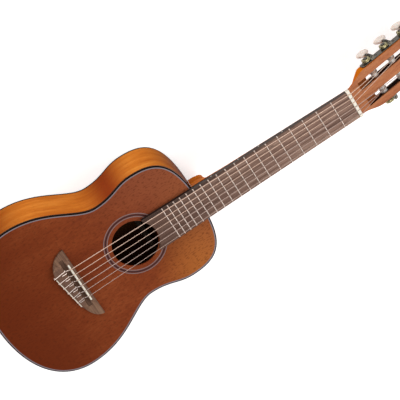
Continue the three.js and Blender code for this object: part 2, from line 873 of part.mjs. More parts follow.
function nut() {
  const profile = [
    [nutFrontY, neckTop], [nutBackY - glueLine, neckTop], [nutBackY - glueLine, neckTop + nutBackHeight],
    [nutFrontY + nutTopDepth, neckTop + nutHeight], [nutFrontY, neckTop + nutHeight],
  ];
  const slots = stringDiameters.map((diameter, i) => {
    const half = diameter / 2 + stringRest;
    const x = spread(i, stringSpreadAtNut);
    return block([x - half, nutFrontY - overrun, neckTop + nutSlotHeight],
      [x + half, nutBackY + overrun, neckTop + nutHeight + overrun]);
  });
  return piece('nut', cut(plateAcrossX(profile, widthAtNut), ...slots), bone());
}

function saddle() {
  const half = saddleThickness / 2;
  const low = bodyDepth + blockHeight - saddleSlotDepth + glueLine;
  const top = bodyDepth + saddleHeight;
  const profile = [
    [-half, low], [half, low], [half, top - saddleCrown], [half / 2, top],
    [-half / 2, top], [-half, top - saddleCrown],
  ];
  return piece('saddle', plateAcrossX(profile, saddleLength), bone());
}

// The tail edge of the tie block
function blockRear(x) {
  return -blockRearAtCentre + x * blockRearSlantShare;
}

// A wing's curved edge, its handles given as shares of the box that the wing fills
function wingCurve(shape, from, to, handleShares) {
  const handles = handleShares.flatMap(([across, back]) => [
    THREE.MathUtils.lerp(from.x, to.x, across), THREE.MathUtils.lerp(from.y, to.y, back),
  ]);
  shape.bezierCurveTo(...handles, to.x, to.y);
}

// Seen from above: a straight front edge, two curved wings, and a straight tail edge that runs aslant
function bridgeShape() {
  const bassFront = new THREE.Vector2(-bassTip, bridgeFront);
  const trebleFront = new THREE.Vector2(trebleTip, bridgeFront);
  const bassRear = new THREE.Vector2(-trimBassEnd, blockRear(-trimBassEnd));
  const trebleRear = new THREE.Vector2(blockHalfWidth, blockRear(blockHalfWidth));
  const shape = new THREE.Shape();
  shape.moveTo(trebleFront.x, trebleFront.y);
  shape.lineTo(bassFront.x, bassFront.y);
  wingCurve(shape, bassFront, bassRear, bassWingShares);
  shape.lineTo(trebleRear.x, trebleRear.y);
  const [[firstAcross, firstBack], [secondAcross, secondBack]] = trebleWingShares;
  wingCurve(shape, trebleRear, trebleFront,
    [[1 - secondAcross, 1 - secondBack], [1 - firstAcross, 1 - firstBack]]);
  return shape;
}

// Seen from the front: thin wings that rise to the block at each end
function bridgeFrontProfile() {
  const [runShare, riseShare] = blockShoulderShares;
  const foot = blockHalfWidth + blockShoulderRun;
  const middle = blockHalfWidth + blockShoulderRun * runShare;
  const rise = THREE.MathUtils.lerp(wingThickness, blockHeight, riseShare);
  return [
    [-bassTip - overrun, 0], [trebleTip + overrun, 0], [trebleTip + overrun, wingThickness],
    [foot, wingThickness], [middle, rise], [blockHalfWidth, blockHeight],
    [-blockHalfWidth, blockHeight], [-middle, rise], [-foot, wingThickness],
    [-bassTip - overrun, wingThickness],
  ];
}

// The trim lies in a rabbet along the top of the tail edge.
function trimShape(clearance, past) {
  const ends = [-trimBassEnd - clearance, blockHalfWidth - clearance + past];
  const rear = ends.map((x) => new THREE.Vector2(x, blockRear(x) - past));
  const front = ends.map((x) => new THREE.Vector2(x, blockRear(x) + trimWidth + clearance));
  return new THREE.Shape([rear[0], rear[1], front[1], front[0]]);
}

function bridge() {
  const length = 2 * (trebleTip + bassTip);
  const prism = toSolid(extrude(bridgeShape(), blockHeight + overrun, wingSteps));
  const front = toSolid(plateAcrossY(bridgeFrontProfile(), length));
  const blank = toGeometry(prism.intersect(front));
  const saddleHalf = saddleThickness / 2 + glueLine;
  const saddleEnd = saddleLength / 2 + glueLine;
  const saddleSlot = block([-saddleEnd, -saddleHalf, blockHeight - saddleSlotDepth],
    [saddleEnd, saddleHalf, blockHeight + overrun]);
  const grooveEnd = blockHalfWidth + blockShoulderRun;
  const groove = block([-grooveEnd, -tieBlockFront, tieGrooveBottom],
    [grooveEnd, -saddleThickness, blockHeight + overrun]);
  const ridgeTop = block([-grooveEnd, -tieBlockFront, saddleRidgeHeight],
    [grooveEnd, -saddleHalf, blockHeight + overrun]);
  const holes = stringDiameters.map((_, i) =>
    barAlongY(stringHoleRadius, blockRear(-blockHalfWidth) - overrun, -saddleThickness, boreSides)
      .translate(spread(i, stringSpreadAtSaddle), 0, stringHoleHeight));
  const rabbet = extrude(trimShape(glueLine, overrun), trimHeight + overrun);
  rabbet.translate(0, 0, blockHeight - trimHeight);
  const whole = cut(blank, saddleSlot, groove, ridgeTop, rabbet, ...holes);
  return piece('bridge', whole.translate(0, 0, bodyDepth), rosewood());
}

function tieBlockTrim() {
  const strip = extrude(trimShape(0, 0), trimHeight).translate(0, 0, bodyDepth + blockHeight - trimHeight);
  return piece('tie_block_trim', strip, whiteTrim());
}

// A quarter or half turn in the plane of Y and Z, about an edge at x
function aroundEdge(x, y, z, reach, fromDegrees, toDegrees) {
  const points = [];
  for (let step = 0; step <= tieArcSteps; step++) {
    const angle = radians(THREE.MathUtils.lerp(fromDegrees, toDegrees, step / tieArcSteps));
    points.push(new THREE.Vector3(x, y + reach * Math.cos(angle), z + reach * Math.sin(angle)));
  }
  return points;
}

// From the free end: along the block, round the standing string, over the block and through its hole
function tiePoints(x, diameter, saddleZ) {
  const hug = diameter / 2 + stringRest;
  const aside = diameter + tieSpacing;
  const top = bodyDepth + blockHeight;
  const hole = bodyDepth + stringHoleHeight;
  const front = -tieBlockFront;
  const rear = blockRear(x);
  const loopY = front + hug + stringRest;
  const standing = THREE.MathUtils.mapLinear(loopY, front, 0, hole, saddleZ);
  const loop = [];
  for (let step = 0; step <= 2 * tieArcSteps; step++) {
    const angle = (step / tieArcSteps) * Math.PI / 2;
    loop.push(new THREE.Vector3(x + aside * Math.cos(angle), loopY, standing - aside * Math.sin(angle)));
  }
  return [
    new THREE.Vector3(x + aside, front - tieTailLength, top + hug),
    ...aroundEdge(x + aside, front, top, hug, 90, 0),
    ...loop,
    ...aroundEdge(x - aside, front, top, hug, 0, 90),
    ...aroundEdge(x, rear, top, hug, 90, 180),
    new THREE.Vector3(x, rear - hug, hole + hug),
    new THREE.Vector3(x, rear, hole),
    new THREE.Vector3(x, front, hole),
  ];
}

// Turns round the roller, from the top of it and outwards, a wire's spacing apart
function coilPoints(frame, side, number, diameter, entrySlope) {
  const radius = rollerWaistRadius + coilGap + diameter / 2;
  const points = [];
  const steps = coilTurns * coilStepsPerTurn;
  for (let step = 0; step <= steps; step++) {
    const turned = step / coilStepsPerTurn;
    const angle = entrySlope + turned * 2 * Math.PI;
    const x = slotFromCentre + turned * (diameter + coilSpacing);
    const local = new THREE.Vector3(side * x, tunerPlace(number) + radius * Math.sin(angle),
      -rollerDepth + radius * Math.cos(angle));
    points.push(frame.localToWorld(local));
  }
  return points;
}

// The least gap between any two parts of a string that lie apart along it
function leastGapToItself(points, diameter) {
  let least = Infinity;
  for (let i = 0; i < points.length; i++) {
    let along = 0;
    for (let j = i + 1; j < points.length; j++) {
      along += points[j].distanceTo(points[j - 1]);
      if (along > Math.PI * diameter) {
        least = Math.min(least, points[i].distanceTo(points[j]) - diameter);
      }
    }
  }
  return least;
}

function stringPoints(frame, index) {
  const diameter = stringDiameters[index];
  const side = index < tunersPerSide ? -1 : 1;
  const number = index < tunersPerSide ? index : stringDiameters.length - 1 - index;
  const atSaddle = spread(index, stringSpreadAtSaddle);
  const atNut = spread(index, stringSpreadAtNut);
  const saddleZ = bodyDepth + saddleHeight + diameter / 2 + stringRest;
  const nutZ = neckTop + nutSlotHeight + diameter / 2 + stringRest;
  const nutRise = nutSlotHeight + rollerDepth - rollerWaistRadius;
  const entrySlope = Math.atan2(nutRise, tunerPlace(number));
  return [
    ...tiePoints(atSaddle, diameter, saddleZ),
    new THREE.Vector3(atSaddle, -saddleThickness / 4, saddleZ),
    new THREE.Vector3(atSaddle, saddleThickness / 4, saddleZ),
    new THREE.Vector3(atNut, nutFrontY, nutZ),
    new THREE.Vector3(atNut, nutBackY, nutZ),
    ...coilPoints(frame, side, number, diameter, entrySlope),
  ];
}

function strings(frame) {
  return stringDiameters.map((diameter, index) => {
    const points = stringPoints(frame, index);
    const gap = leastGapToItself(points, diameter).toFixed(2);
    console.log(`${stringNames[index]} string: least gap to itself ${gap} mm`);
    const material = index < tunersPerSide ? woundNylon() : nylon();
    return piece(`${stringNames[index]}_string`, sweptTube(points, diameter, stringSides), material);
  });
}

// A plate for three machines, with two ears for each worm
function tunerPlate(side) {
  const middle = -rollerDepth;
  const low = middle - plateHeight / 2;
  const high = middle + plateHeight / 2;
  const shape = new THREE.Shape();
  const radius = plateCornerRadius;
  shape.absarc(plateEnd - radius, high - radius, radius, 0, Math.PI / 2, false);
  shape.absarc(plateStart + radius, high - radius, radius, Math.PI / 2, Math.PI, false);
  shape.absarc(plateStart + radius, low + radius, radius, Math.PI, Math.PI * 3 / 2, false);
  shape.absarc(plateEnd - radius, low + radius, radius, Math.PI * 3 / 2, Math.PI * 2, false);
  for (let number = 0; number < tunersPerSide; number++) {
    shape.holes.push(circleHole(tunerPlace(number), middle, journalRadius + runningGap, boreSides));
  }
  const strip = extrude(shape, plateThickness, cornerSteps);
  strip.applyMatrix4(new THREE.Matrix4().set(0, 0, 1, plateInner, 1, 0, 0, 0, 0, 1, 0, 0, 0, 0, 0, 1));
  const whole = join(strip, ...plateEars());
  if (side < 0) {
    whole.applyMatrix4(new THREE.Matrix4().makeScale(-1, 1, 1));
    whole.setIndex(Array.from(whole.index.array).reverse());
  }
  return piece(side < 0 ? 'tuner_plate_bass' : 'tuner_plate_treble', whole, nickel());
}

function earOffset() {
  return threadHalfLength + seatGap + earThickness / 2;
}

function plateEars() {
  const ears = [];
  for (let number = 0; number < tunersPerSide; number++) {
    for (const end of [-1, 1]) {
      const y = tunerPlace(number) + centreDistance;
      const shape = new THREE.Shape();
      shape.moveTo(plateInner + plateThickness / 2, y - earRadius);
      shape.lineTo(gearMiddle, y - earRadius);
      shape.absarc(gearMiddle, y, earRadius, -Math.PI / 2, Math.PI / 2, false);
      shape.lineTo(plateInner + plateThickness / 2, y + earRadius);
      shape.holes.push(circleHole(gearMiddle, y, wormJournalRadius + runningGap, boreSides));
      const ear = extrude(shape, earThickness, cornerSteps + 1);
      ears.push(ear.translate(0, 0, -rollerDepth + end * earOffset() - earThickness / 2));
    }
  }
  return ears;
}

// The roller, turned in one with its journal and the head that keeps the gear on
function roller(side, number) {
  const slotInner = slotFromCentre - slotWidth / 2;
  const slotOuter = slotFromCentre + slotWidth / 2;
  const gearEnd = gearMiddle + gearWidth / 2 + glueLine;
  const shoulder = plateInner - seatGap;
  const profile = [
    [0, rollerEndFromCentre], [rollerRadius, rollerEndFromCentre],
    [rollerRadius, slotInner + rollerWaistMargin], [rollerWaistRadius, slotInner + 2 * rollerWaistMargin],
    [rollerWaistRadius, slotOuter - 2 * rollerWaistMargin], [rollerRadius, slotOuter - rollerWaistMargin],
    [rollerRadius, shoulder], [journalRadius, shoulder], [journalRadius, gearEnd],
    [retainerRadius, gearEnd], [retainerRadius, gearEnd + retainerHeight], [0, gearEnd + retainerHeight],
  ];
  const points = profile.map(([radius, along]) => new THREE.Vector2(radius, along));
  const geometry = new THREE.LatheGeometry(points, rollerSides).rotateZ(-side * Math.PI / 2);
  return piece(tunerName('roller', side, number), geometry, rollerPlastic());
}

// A worm wheel: its teeth slant by the lead of the worm, and a gap faces the worm.
function gear(side, number) {
  const tipRadius = gearPitchRadius + gearAddendum;
  const rootRadius = gearPitchRadius - gearDedendum;
  const slant = threadPitch / (2 * Math.PI * wormPitchRadius) / gearPitchRadius;
  const rings = [-gearWidth / 2, gearWidth / 2].map((x) => {
    const ring = [];
    for (let tooth = 0; tooth < gearTeeth; tooth++) {
      const middle = ((tooth + 1 / 2) / gearTeeth) * 2 * Math.PI + x * slant;
      const rootHalf = (threadPitch * toothRootShare) / 2 / rootRadius;
      const tipHalf = (threadPitch * toothTipShare) / 2 / tipRadius;
      const corners = [[rootRadius, -rootHalf], [tipRadius, -tipHalf], [tipRadius, tipHalf],
        [rootRadius, rootHalf]];
      for (const [radius, offset] of corners) {
        const angle = middle + offset;
        ring.push(new THREE.Vector3(x, radius * Math.cos(angle), radius * Math.sin(angle)));
      }
    }
    return ring;
  });
  const bore = barAlongX(journalRadius + glueLine, -gearWidth, gearWidth, rollerSides);
  const wheel = cut(loft(rings), bore);
  return piece(tunerName('gear', side, number), wheel, brass());
}

// One turn of thread climbs one pitch; it passes the gear's side of the worm at mid height.
function thread() {
  const root = wormPitchRadius - wormDedendum - threadSink;
  const tip = wormPitchRadius + wormAddendum;
  const rootHalf = (threadPitch * threadRootShare) / 2;
  const tipHalf = (threadPitch * threadTipShare) / 2;
  const turns = (threadHalfLength - rootHalf) / threadPitch;
  const steps = Math.round(2 * turns * threadStepsPerTurn);
  const rings = [];
  for (let step = 0; step <= steps; step++) {
    const turned = ((step / steps) * 2 - 1) * turns;
    const angle = turned * 2 * Math.PI - Math.PI / 2;
    const corners = [[root, -rootHalf], [tip, -tipHalf], [tip, tipHalf], [root, rootHalf]];
    rings.push(corners.map(([radius, rise]) => new THREE.Vector3(
      radius * Math.cos(angle), radius * Math.sin(angle), turned * threadPitch + rise)));
  }
  return loft(rings);
}

// The worm turns in the two ears and carries its button on a shank behind the head.
function worm(side, number) {
  const core = wormPitchRadius - wormDedendum;
  const earFar = earOffset() + earThickness / 2;
  const profile = [
    [0, -shankEnd()], [shankRadius, -shankEnd()], [shankRadius, -earFar - seatGap - wormCollarHeight],
    [wormCollarRadius, -earFar - seatGap - wormCollarHeight], [wormCollarRadius, -earFar - seatGap],
    [wormJournalRadius, -earFar - seatGap], [wormJournalRadius, -threadHalfLength],
    [core, -threadHalfLength], [core, threadHalfLength], [wormJournalRadius, threadHalfLength],
    [wormJournalRadius, earFar + wormEndAboveEar], [0, earFar + wormEndAboveEar],
  ];
  const points = profile.map(([radius, along]) => new THREE.Vector2(radius, along));
  const spindle = new THREE.LatheGeometry(points, boreSides).rotateX(Math.PI / 2);
  return piece(tunerName('worm', side, number), join(spindle, thread()), nickel());
}

// Distances down the shank, from the middle of the worm
function buttonStart() {
  return earOffset() + earThickness / 2 + seatGap + wormCollarHeight + buttonGap;
}

function shankEnd() {
  return buttonStart() + buttonSocketDepth - glueLine;
}

// A button shaped like a butterfly wing, bored to sit on the shank
function button(side, number) {
  const rings = buttonHeightShares.map((share, i) => {
    const ring = [];
    for (let step = 0; step < buttonSides; step++) {
      const angle = (step / buttonSides) * 2 * Math.PI;
      ring.push(new THREE.Vector3(
        Math.cos(angle) * buttonHalfThickness * buttonThicknessShares[i],
        Math.sin(angle) * buttonHalfWidth * buttonWidthShares[i],
        -buttonStart() - buttonLength * share,
      ));
    }
    return ring;
  });
  const socket = barAlongZ(shankRadius + glueLine, -buttonStart() + overrun,
    -buttonStart() - buttonSocketDepth, boreSides);
  return piece(tunerName('button', side, number), cut(loft(rings), socket), pearloid());
}

function tunerName(what, side, number) {
  return `${what}_${side < 0 ? 'bass' : 'treble'}_${number + 1}`;
}

function tuningMachines(frame) {
  for (const side of [-1, 1]) {
    frame.add(tunerPlate(side));
    for (let number = 0; number < tunersPerSide; number++) {
      const place = new THREE.Group();
      place.position.set(0, tunerPlace(number), -rollerDepth);
      const wheel = gear(side, number);
      wheel.position.x = side * gearMiddle;
      const screw = worm(side, number);
      const knob = button(side, number);
      for (const part of [screw, knob]) {
        part.position.set(side * gearMiddle, centreDistance, 0);
      }
      place.add(roller(side, number), wheel, screw, knob);
      frame.add(place);
    }
  }
}

function guitalele() {
  const group = new THREE.Group();
  const frame = headFrame();
  group.add(soundboard(), rosette(), backPlate(), ...sides(), ...bindings(), ...linings());
  group.add(...endBlocks(), ...crossBraces(), bridgePatch(), ...fanBraces());
  group.add(fretboard(), nut(), saddle(), bridge(), tieBlockTrim(), neck(frame));
  group.add(...strings(frame));
  frame.add(headVeneer());
  tuningMachines(frame);
  group.add(frame);
  return group;
}

export default guitalele();
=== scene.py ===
import math

import bpy
import numpy as np
from mathutils import Matrix, Vector
from mathutils.geometry import tessellate_polygon


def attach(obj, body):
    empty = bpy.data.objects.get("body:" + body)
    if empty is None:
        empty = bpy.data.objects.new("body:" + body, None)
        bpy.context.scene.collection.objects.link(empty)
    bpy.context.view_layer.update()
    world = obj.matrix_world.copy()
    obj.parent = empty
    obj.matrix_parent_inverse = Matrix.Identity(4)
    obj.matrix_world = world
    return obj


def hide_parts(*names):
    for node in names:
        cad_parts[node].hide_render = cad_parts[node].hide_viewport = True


# A guitalele: a small six-string guitar with nylon strings and a slotted head.
# Shapes are worked out in millimetres, in the frame of the CAD part, and become metres in meshOf.

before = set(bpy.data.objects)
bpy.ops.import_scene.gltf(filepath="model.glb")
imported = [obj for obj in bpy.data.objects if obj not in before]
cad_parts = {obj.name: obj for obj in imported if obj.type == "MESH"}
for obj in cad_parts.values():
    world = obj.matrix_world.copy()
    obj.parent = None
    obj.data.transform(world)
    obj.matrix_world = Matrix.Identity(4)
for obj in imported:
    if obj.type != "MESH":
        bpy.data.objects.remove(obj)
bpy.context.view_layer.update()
print("frame loaded")

millimetre = 0.001


def mix(a, b, share):
    return a + (b - a) * share


# Joins one array or number for each coordinate into points.
def grid(*parts):
    return np.stack(np.broadcast_arrays(*parts), -1)


def fullTurn(count):
    return np.arange(count) / count * 2 * math.pi


def unit(vectors):
    return vectors / np.linalg.norm(vectors, axis=1)[:, None]


# The distance of each point from the start, along the line.
def runAlong(path):
    return np.concatenate([[0], np.cumsum(np.linalg.norm(np.diff(path, axis=0), axis=1))])


# Each quad joins neighbours in a ring with the two above them; closed rings join the last to the first.
def gridFaces(rows, columns, closed=False):
    row, column = np.arange(rows if closed else rows - 1)[:, None], np.arange(columns)
    nextRow, nextColumn = (row + 1) % rows, (column + 1) % columns
    return grid(row * columns + column, row * columns + nextColumn,
                nextRow * columns + nextColumn, nextRow * columns + column).reshape(-1, 4)


# Rings of points, skinned in order, with a flat face at each end or the last ring joined to the first.
def loft(rings, closed=False):
    rows, columns = rings.shape[:2]
    faces = [gridFaces(rows, columns, closed)]
    if not closed:
        around = np.arange(columns)
        faces += [around[None, ::-1], around[None] + (rows - 1) * columns]
    return rings.reshape(-1, 3), faces


# Six times the volume inside the faces, negative where they face inwards.
def signedVolume(points, faces):
    total = 0
    for group in faces:
        for corner in range(1, group.shape[1] - 1):
            a, b, c = points[group[:, 0]], points[group[:, corner]], points[group[:, corner + 1]]
            total += np.einsum("ij,ij->", a, np.cross(b, c))
    return total


def outward(points, faces):
    if signedVolume(points, faces) < 0:
        faces = [group[:, ::-1] for group in faces]
    return points, faces


def meshOf(points, faces, uv=None):
    points, faces = outward(np.asarray(points, float), faces)
    mesh = bpy.data.meshes.new("grid")
    mesh.from_pydata((points * millimetre).tolist(), [], [face for some in faces for face in some.tolist()])
    if uv is not None:
        layer = mesh.uv_layers.new(name="grain")
        corners = np.zeros(len(mesh.loops), int)
        mesh.loops.foreach_get("vertex_index", corners)
        layer.data.foreach_set("uv", (uv[corners] * millimetre).astype(np.float32).ravel())
    return mesh


# Several shapes as one.
def together(shapes):
    points, faces, start = [], [], 0
    for some, groups in shapes:
        points.append(some)
        faces += [group + start for group in groups]
        start += len(some)
    return np.concatenate(points), faces


# The loop moved to the left of its direction, each corner along the bisector of its two edges.
def insetLoop(loop, distance):
    ahead = unit(np.roll(loop, -1, 0) - loop)
    left = grid(-ahead[:, 1], ahead[:, 0])
    before = np.roll(left, 1, 0)
    scale = 1 + (left * before).sum(1)
    return loop + (left + before) / np.maximum(scale, 0.3)[:, None] * distance


# A flat plate with rounded edges: loops run anticlockwise round the outside and clockwise round holes.
def slab(loops, low, high, edge, steps=3):
    angle = np.linspace(0, math.pi / 2, steps + 1)
    insets = edge * (1 - np.sin(angle))
    heights = low + edge * (1 - np.cos(angle))
    insets = np.concatenate([insets, insets[::-1]])
    heights = np.concatenate([heights, (low + high - heights)[::-1]])
    shapes, outlines = [], []
    for loop in loops:
        rings = np.stack([grid(*insetLoop(loop, inset).T, height) for inset, height in zip(insets, heights)])
        shapes.append((rings.reshape(-1, 3), [gridFaces(len(rings), len(loop))]))
        outlines.append(rings[0])
    points, faces = together(shapes)
    flat = np.array(tessellate_polygon([[Vector(p) for p in ring] for ring in outlines]))
    counts = np.cumsum([0] + [len(ring) for ring in outlines])
    starts = np.cumsum([0] + [len(ring) * len(insets) for ring in outlines])[:-1]
    which = np.searchsorted(counts, flat, side="right") - 1
    sizes = np.array([len(ring) for ring in outlines])
    bottom = flat - counts[which] + starts[which]
    a, b, c = (points[bottom[:, i], :2] for i in range(3))
    turn = (b - a)[:, 0] * (c - a)[:, 1] - (b - a)[:, 1] * (c - a)[:, 0]
    bottom[turn > 0] = bottom[turn > 0][:, ::-1]
    top = bottom[:, ::-1].copy()
    which = np.searchsorted(np.append(starts, len(points)), top, side="right") - 1
    top += (len(insets) - 1) * sizes[which]
    return points, faces + [bottom, top]


# A profile of (radius, distance) turned about the X axis.
def lathe(profile, sides):
    angle = fullTurn(sides)
    radius, along = np.array(profile, float).T[:, :, None]
    return loft(grid(along, radius * np.cos(angle), radius * np.sin(angle)))


def bar(radius, start, end, sides):
    return lathe([(radius, start), (radius, end)], sides)


def box(low, high):
    (x0, y0, z0), (x1, y1, z1) = low, high
    return loft(np.array([[(x0, y0, z), (x1, y0, z), (x1, y1, z), (x0, y1, z)] for z in (z0, z1)]))


# A round section carried along a line of points without twist.
def tube(path, radius, sides):
    ahead = unit(np.gradient(path, axis=0))
    across = np.zeros_like(path)
    side = np.array([1.0, 0, 0])
    for i, direction in enumerate(ahead):
        side = side - direction * side.dot(direction)
        side /= np.linalg.norm(side)
        across[i] = side
    up = np.cross(ahead, across)
    angle = fullTurn(sides)
    rings = path[:, None] + radius * (np.cos(angle)[None, :, None] * across[:, None]
                                      + np.sin(angle)[None, :, None] * up[:, None])
    return (*loft(rings), grid(runAlong(path)[:, None], angle * radius).reshape(-1, 2))


# Each corner of a line becomes a short curve that leaves it a set distance before the corner.
def roundCorners(path, reach, steps=4):
    found = [path[:1]]
    share = np.linspace(0, 1, steps + 1)[:, None]
    for before, corner, after in zip(path[:-2], path[1:-1], path[2:]):
        back, forth = before - corner, after - corner
        backRun, forthRun = np.linalg.norm(back), np.linalg.norm(forth)
        start = corner + back / backRun * min(reach, backRun * 0.45)
        end = corner + forth / forthRun * min(reach, forthRun * 0.45)
        found.append((1 - share) ** 2 * start + 2 * share * (1 - share) * corner + share ** 2 * end)
    return np.concatenate(found + [path[-1:]])


def cubic(handles, count):
    t = np.linspace(0, 1, count + 1)[:, None]
    a, b, c, d = np.array(handles, float)
    return (1 - t) ** 3 * a + 3 * t * (1 - t) ** 2 * b + 3 * t ** 2 * (1 - t) * c + t ** 3 * d


def cubicTangent(handles, count):
    t = np.linspace(0, 1, count + 1)[:, None]
    a, b, c, d = np.array(handles, float)
    return unit((1 - t) ** 2 * (b - a) + 2 * t * (1 - t) * (c - b) + t ** 2 * (d - c))


# The loop of a round hole, clockwise.
def holeLoop(x, y, radius, count):
    angle = -fullTurn(count)
    return grid(x + radius * np.cos(angle), y + radius * np.sin(angle))


# Boolean difference, solved exactly, of a mesh and several closed shapes.
def carve(mesh, tools):
    target = bpy.data.objects.new("target", mesh)
    cutter = bpy.data.objects.new("cutter", meshOf(*together([outward(*tool) for tool in tools])))
    for holder in (target, cutter):
        bpy.context.scene.collection.objects.link(holder)
    modifier = target.modifiers.new("carve", "BOOLEAN")
    modifier.operation = "DIFFERENCE"
    modifier.solver = "EXACT"
    modifier.use_self = True
    modifier.object = cutter
    bpy.context.view_layer.update()
    carved = bpy.data.meshes.new_from_object(target.evaluated_get(bpy.context.evaluated_depsgraph_get()))
    for holder in (target, cutter):
        bpy.data.objects.remove(holder)
    return carved


# Puts a mesh into the scene as one piece of the guitalele.
def addPiece(name, mesh, finish, body="root", replaces=(), sharp=35):
    mesh.name = name
    mesh.shade_smooth()
    mesh.set_sharp_from_angle(angle=math.radians(sharp))
    mesh.materials.clear()
    mesh.materials.append(finish)
    piece = bpy.data.objects.new(name, mesh)
    bpy.context.scene.collection.objects.link(piece)
    normals = piece.modifiers.new("even normals", "WEIGHTED_NORMAL")
    normals.keep_sharp = True
    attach(piece, body)
    if replaces:
        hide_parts(*replaces)
    return piece


def linear(text):
    share = np.array([int(text[i:i + 2], 16) for i in (1, 3, 5)]) / 255
    return (*np.where(share <= 0.04045, share / 12.92, ((share + 0.055) / 1.055) ** 2.4), 1)


# Adds a node, sets its properties, and gives its inputs a value or a link.
def addNode(tree, kind, inputs=None, stops=None, **settings):
    node = tree.nodes.new(kind)
    for name, value in settings.items():
        setattr(node, name, value)
    for name, value in (inputs or {}).items():
        if isinstance(value, bpy.types.NodeSocket):
            tree.links.new(value, node.inputs[name])
        else:
            node.inputs[name].default_value = value
    for i, (place, color) in enumerate(stops or []):
        stop = node.color_ramp.elements[i] if i < 2 else node.color_ramp.elements.new(place)
        stop.position, stop.color = place, color
    return node


# A material with its own shader; the shader's plain values come in by socket name.
def newFinish(name, **values):
    made = bpy.data.materials.new(name)
    made.use_nodes = True
    tree = made.node_tree
    shader = tree.nodes["Principled BSDF"]
    for socket, value in values.items():
        socket = socket.replace("_", " ")
        shader.inputs[socket].default_value = linear(value) if isinstance(value, str) else value
    return made, tree, shader


# Blends a colour towards a deep one while a value runs between two bounds, and gives the share as well.
def fade(tree, color, deep, value, bounds, depths, curve="LINEAR"):
    share = addNode(tree, "ShaderNodeMapRange", {
        "Value": value, "From Min": bounds[0], "From Max": bounds[1],
        "To Min": depths[0], "To Max": depths[1]}, interpolation_type=curve).outputs["Result"]
    mixed = addNode(tree, "ShaderNodeMix", {0: share, 6: color, 7: linear(deep)}, data_type="RGBA")
    return mixed.outputs[2], share


woodDefaults = {"coordinates": "Object", "grain": 1, "streaks": 0.5, "poreFrom": 0.6, "relief": 0,
                "gloss": 0.5, "sheen": "#ffffff", "stainsAndPaintedLight": (), "paintedLightAndShade": (), "facing": ()}


# Wood: broad changes of tone, narrow streaks and short dark pores, all drawn out along the grain.
# A look gives its tones from dark to light, the grain's axis, and real widths in millimetres.
# Its sheen, a warm specular tint, is the golden glint of the fibres under clear lacquer.
def wood(name, look):
    look = woodDefaults | look
    made, tree, shader = newFinish(name, Roughness=look["roughness"], Specular_Tint=look["sheen"],
                                   Specular_IOR_Level=look["gloss"])
    space = addNode(tree, "ShaderNodeTexCoord").outputs
    source = space[look["coordinates"]]
    drawn = [1, 1, 1]
    drawn[look["grain"]] = look["draw"]
    place = addNode(tree, "ShaderNodeVectorMath", {0: source, 1: drawn}, operation="MULTIPLY").outputs[0]
    noises = (("bandWidth", 2, 0.5), ("streakWidth", 4, 0.6), ("poreWidth", 1, 0.4))
    broad, narrow, pores = (addNode(tree, "ShaderNodeTexNoise", {
        "Vector": place, "Scale": 1000 / look[width], "Detail": detail, "Roughness": rough}).outputs["Fac"]
        for width, detail, rough in noises)
    tone = addNode(tree, "ShaderNodeMix", {0: look["streaks"], 2: broad, 3: narrow}, data_type="FLOAT")
    dark, middle, light = (linear(text) for text in look["tones"])
    color = addNode(tree, "ShaderNodeValToRGB", {"Fac": tone.outputs[0]}, stops=[
        (0.34, dark), (0.66, light), (0.5, middle)]).outputs["Color"]
    # Gradients of stain, painted light and painted shade, along a direction from one distance to another.
    for direction, start, end, deep, depth in look["stainsAndPaintedLight"]:  # from one distance in mm to another
        along = addNode(tree, "ShaderNodeVectorMath", {0: source, 1: direction}, operation="DOT_PRODUCT")
        bounds = (start * millimetre, end * millimetre)
        color = fade(tree, color, deep, along.outputs["Value"], bounds, (depth, 0), "SMOOTHSTEP")[0]
    # Patches of painted light and painted shade, deepest at a centre along an axis.
    for axis, centre, reach, deep, depth in look["paintedLightAndShade"]:  # deepest at the centre, gone at the reach
        along = addNode(tree, "ShaderNodeVectorMath", {0: source, 1: axis}, operation="DOT_PRODUCT")
        off = addNode(tree, "ShaderNodeMath", {0: along.outputs["Value"], 1: centre * millimetre},
                      operation="SUBTRACT")
        away = addNode(tree, "ShaderNodeMath", {0: off.outputs[0]}, operation="ABSOLUTE")
        bounds = (0, reach * millimetre)
        color = fade(tree, color, deep, away.outputs[0], bounds, (depth, 0), "SMOOTHSTEP")[0]
    poreBounds = (look["poreFrom"], look["poreFrom"] + 0.1)
    color, shown = fade(tree, color, look["pore"], pores, poreBounds, (0, look["poreDepth"]))
    # A tone on faces turned one way; on the slots' walls it is painted shade.
    for direction, deep, reach in look["facing"]:  # faces turned one way, up to a distance from the middle
        turned = addNode(tree, "ShaderNodeVectorMath", {0: space["Normal"], 1: direction},
                         operation="DOT_PRODUCT")
        across = addNode(tree, "ShaderNodeSeparateXYZ", {0: space["Object"]})
        away = addNode(tree, "ShaderNodeMath", {0: across.outputs["X"]}, operation="ABSOLUTE")
        near = addNode(tree, "ShaderNodeMath", {0: away.outputs[0], 1: reach * millimetre},
                       operation="LESS_THAN")
        color = fade(tree, color, deep, turned.outputs["Value"], (0.92, 0.97), (0, near.outputs[0]))[0]
    tree.links.new(color, shader.inputs["Base Color"])
    if look["relief"]:
        bump = addNode(tree, "ShaderNodeBump", {
            "Height": shown, "Strength": 1, "Distance": -look["relief"] * millimetre})
        tree.links.new(bump.outputs["Normal"], shader.inputs["Normal"])
    return made
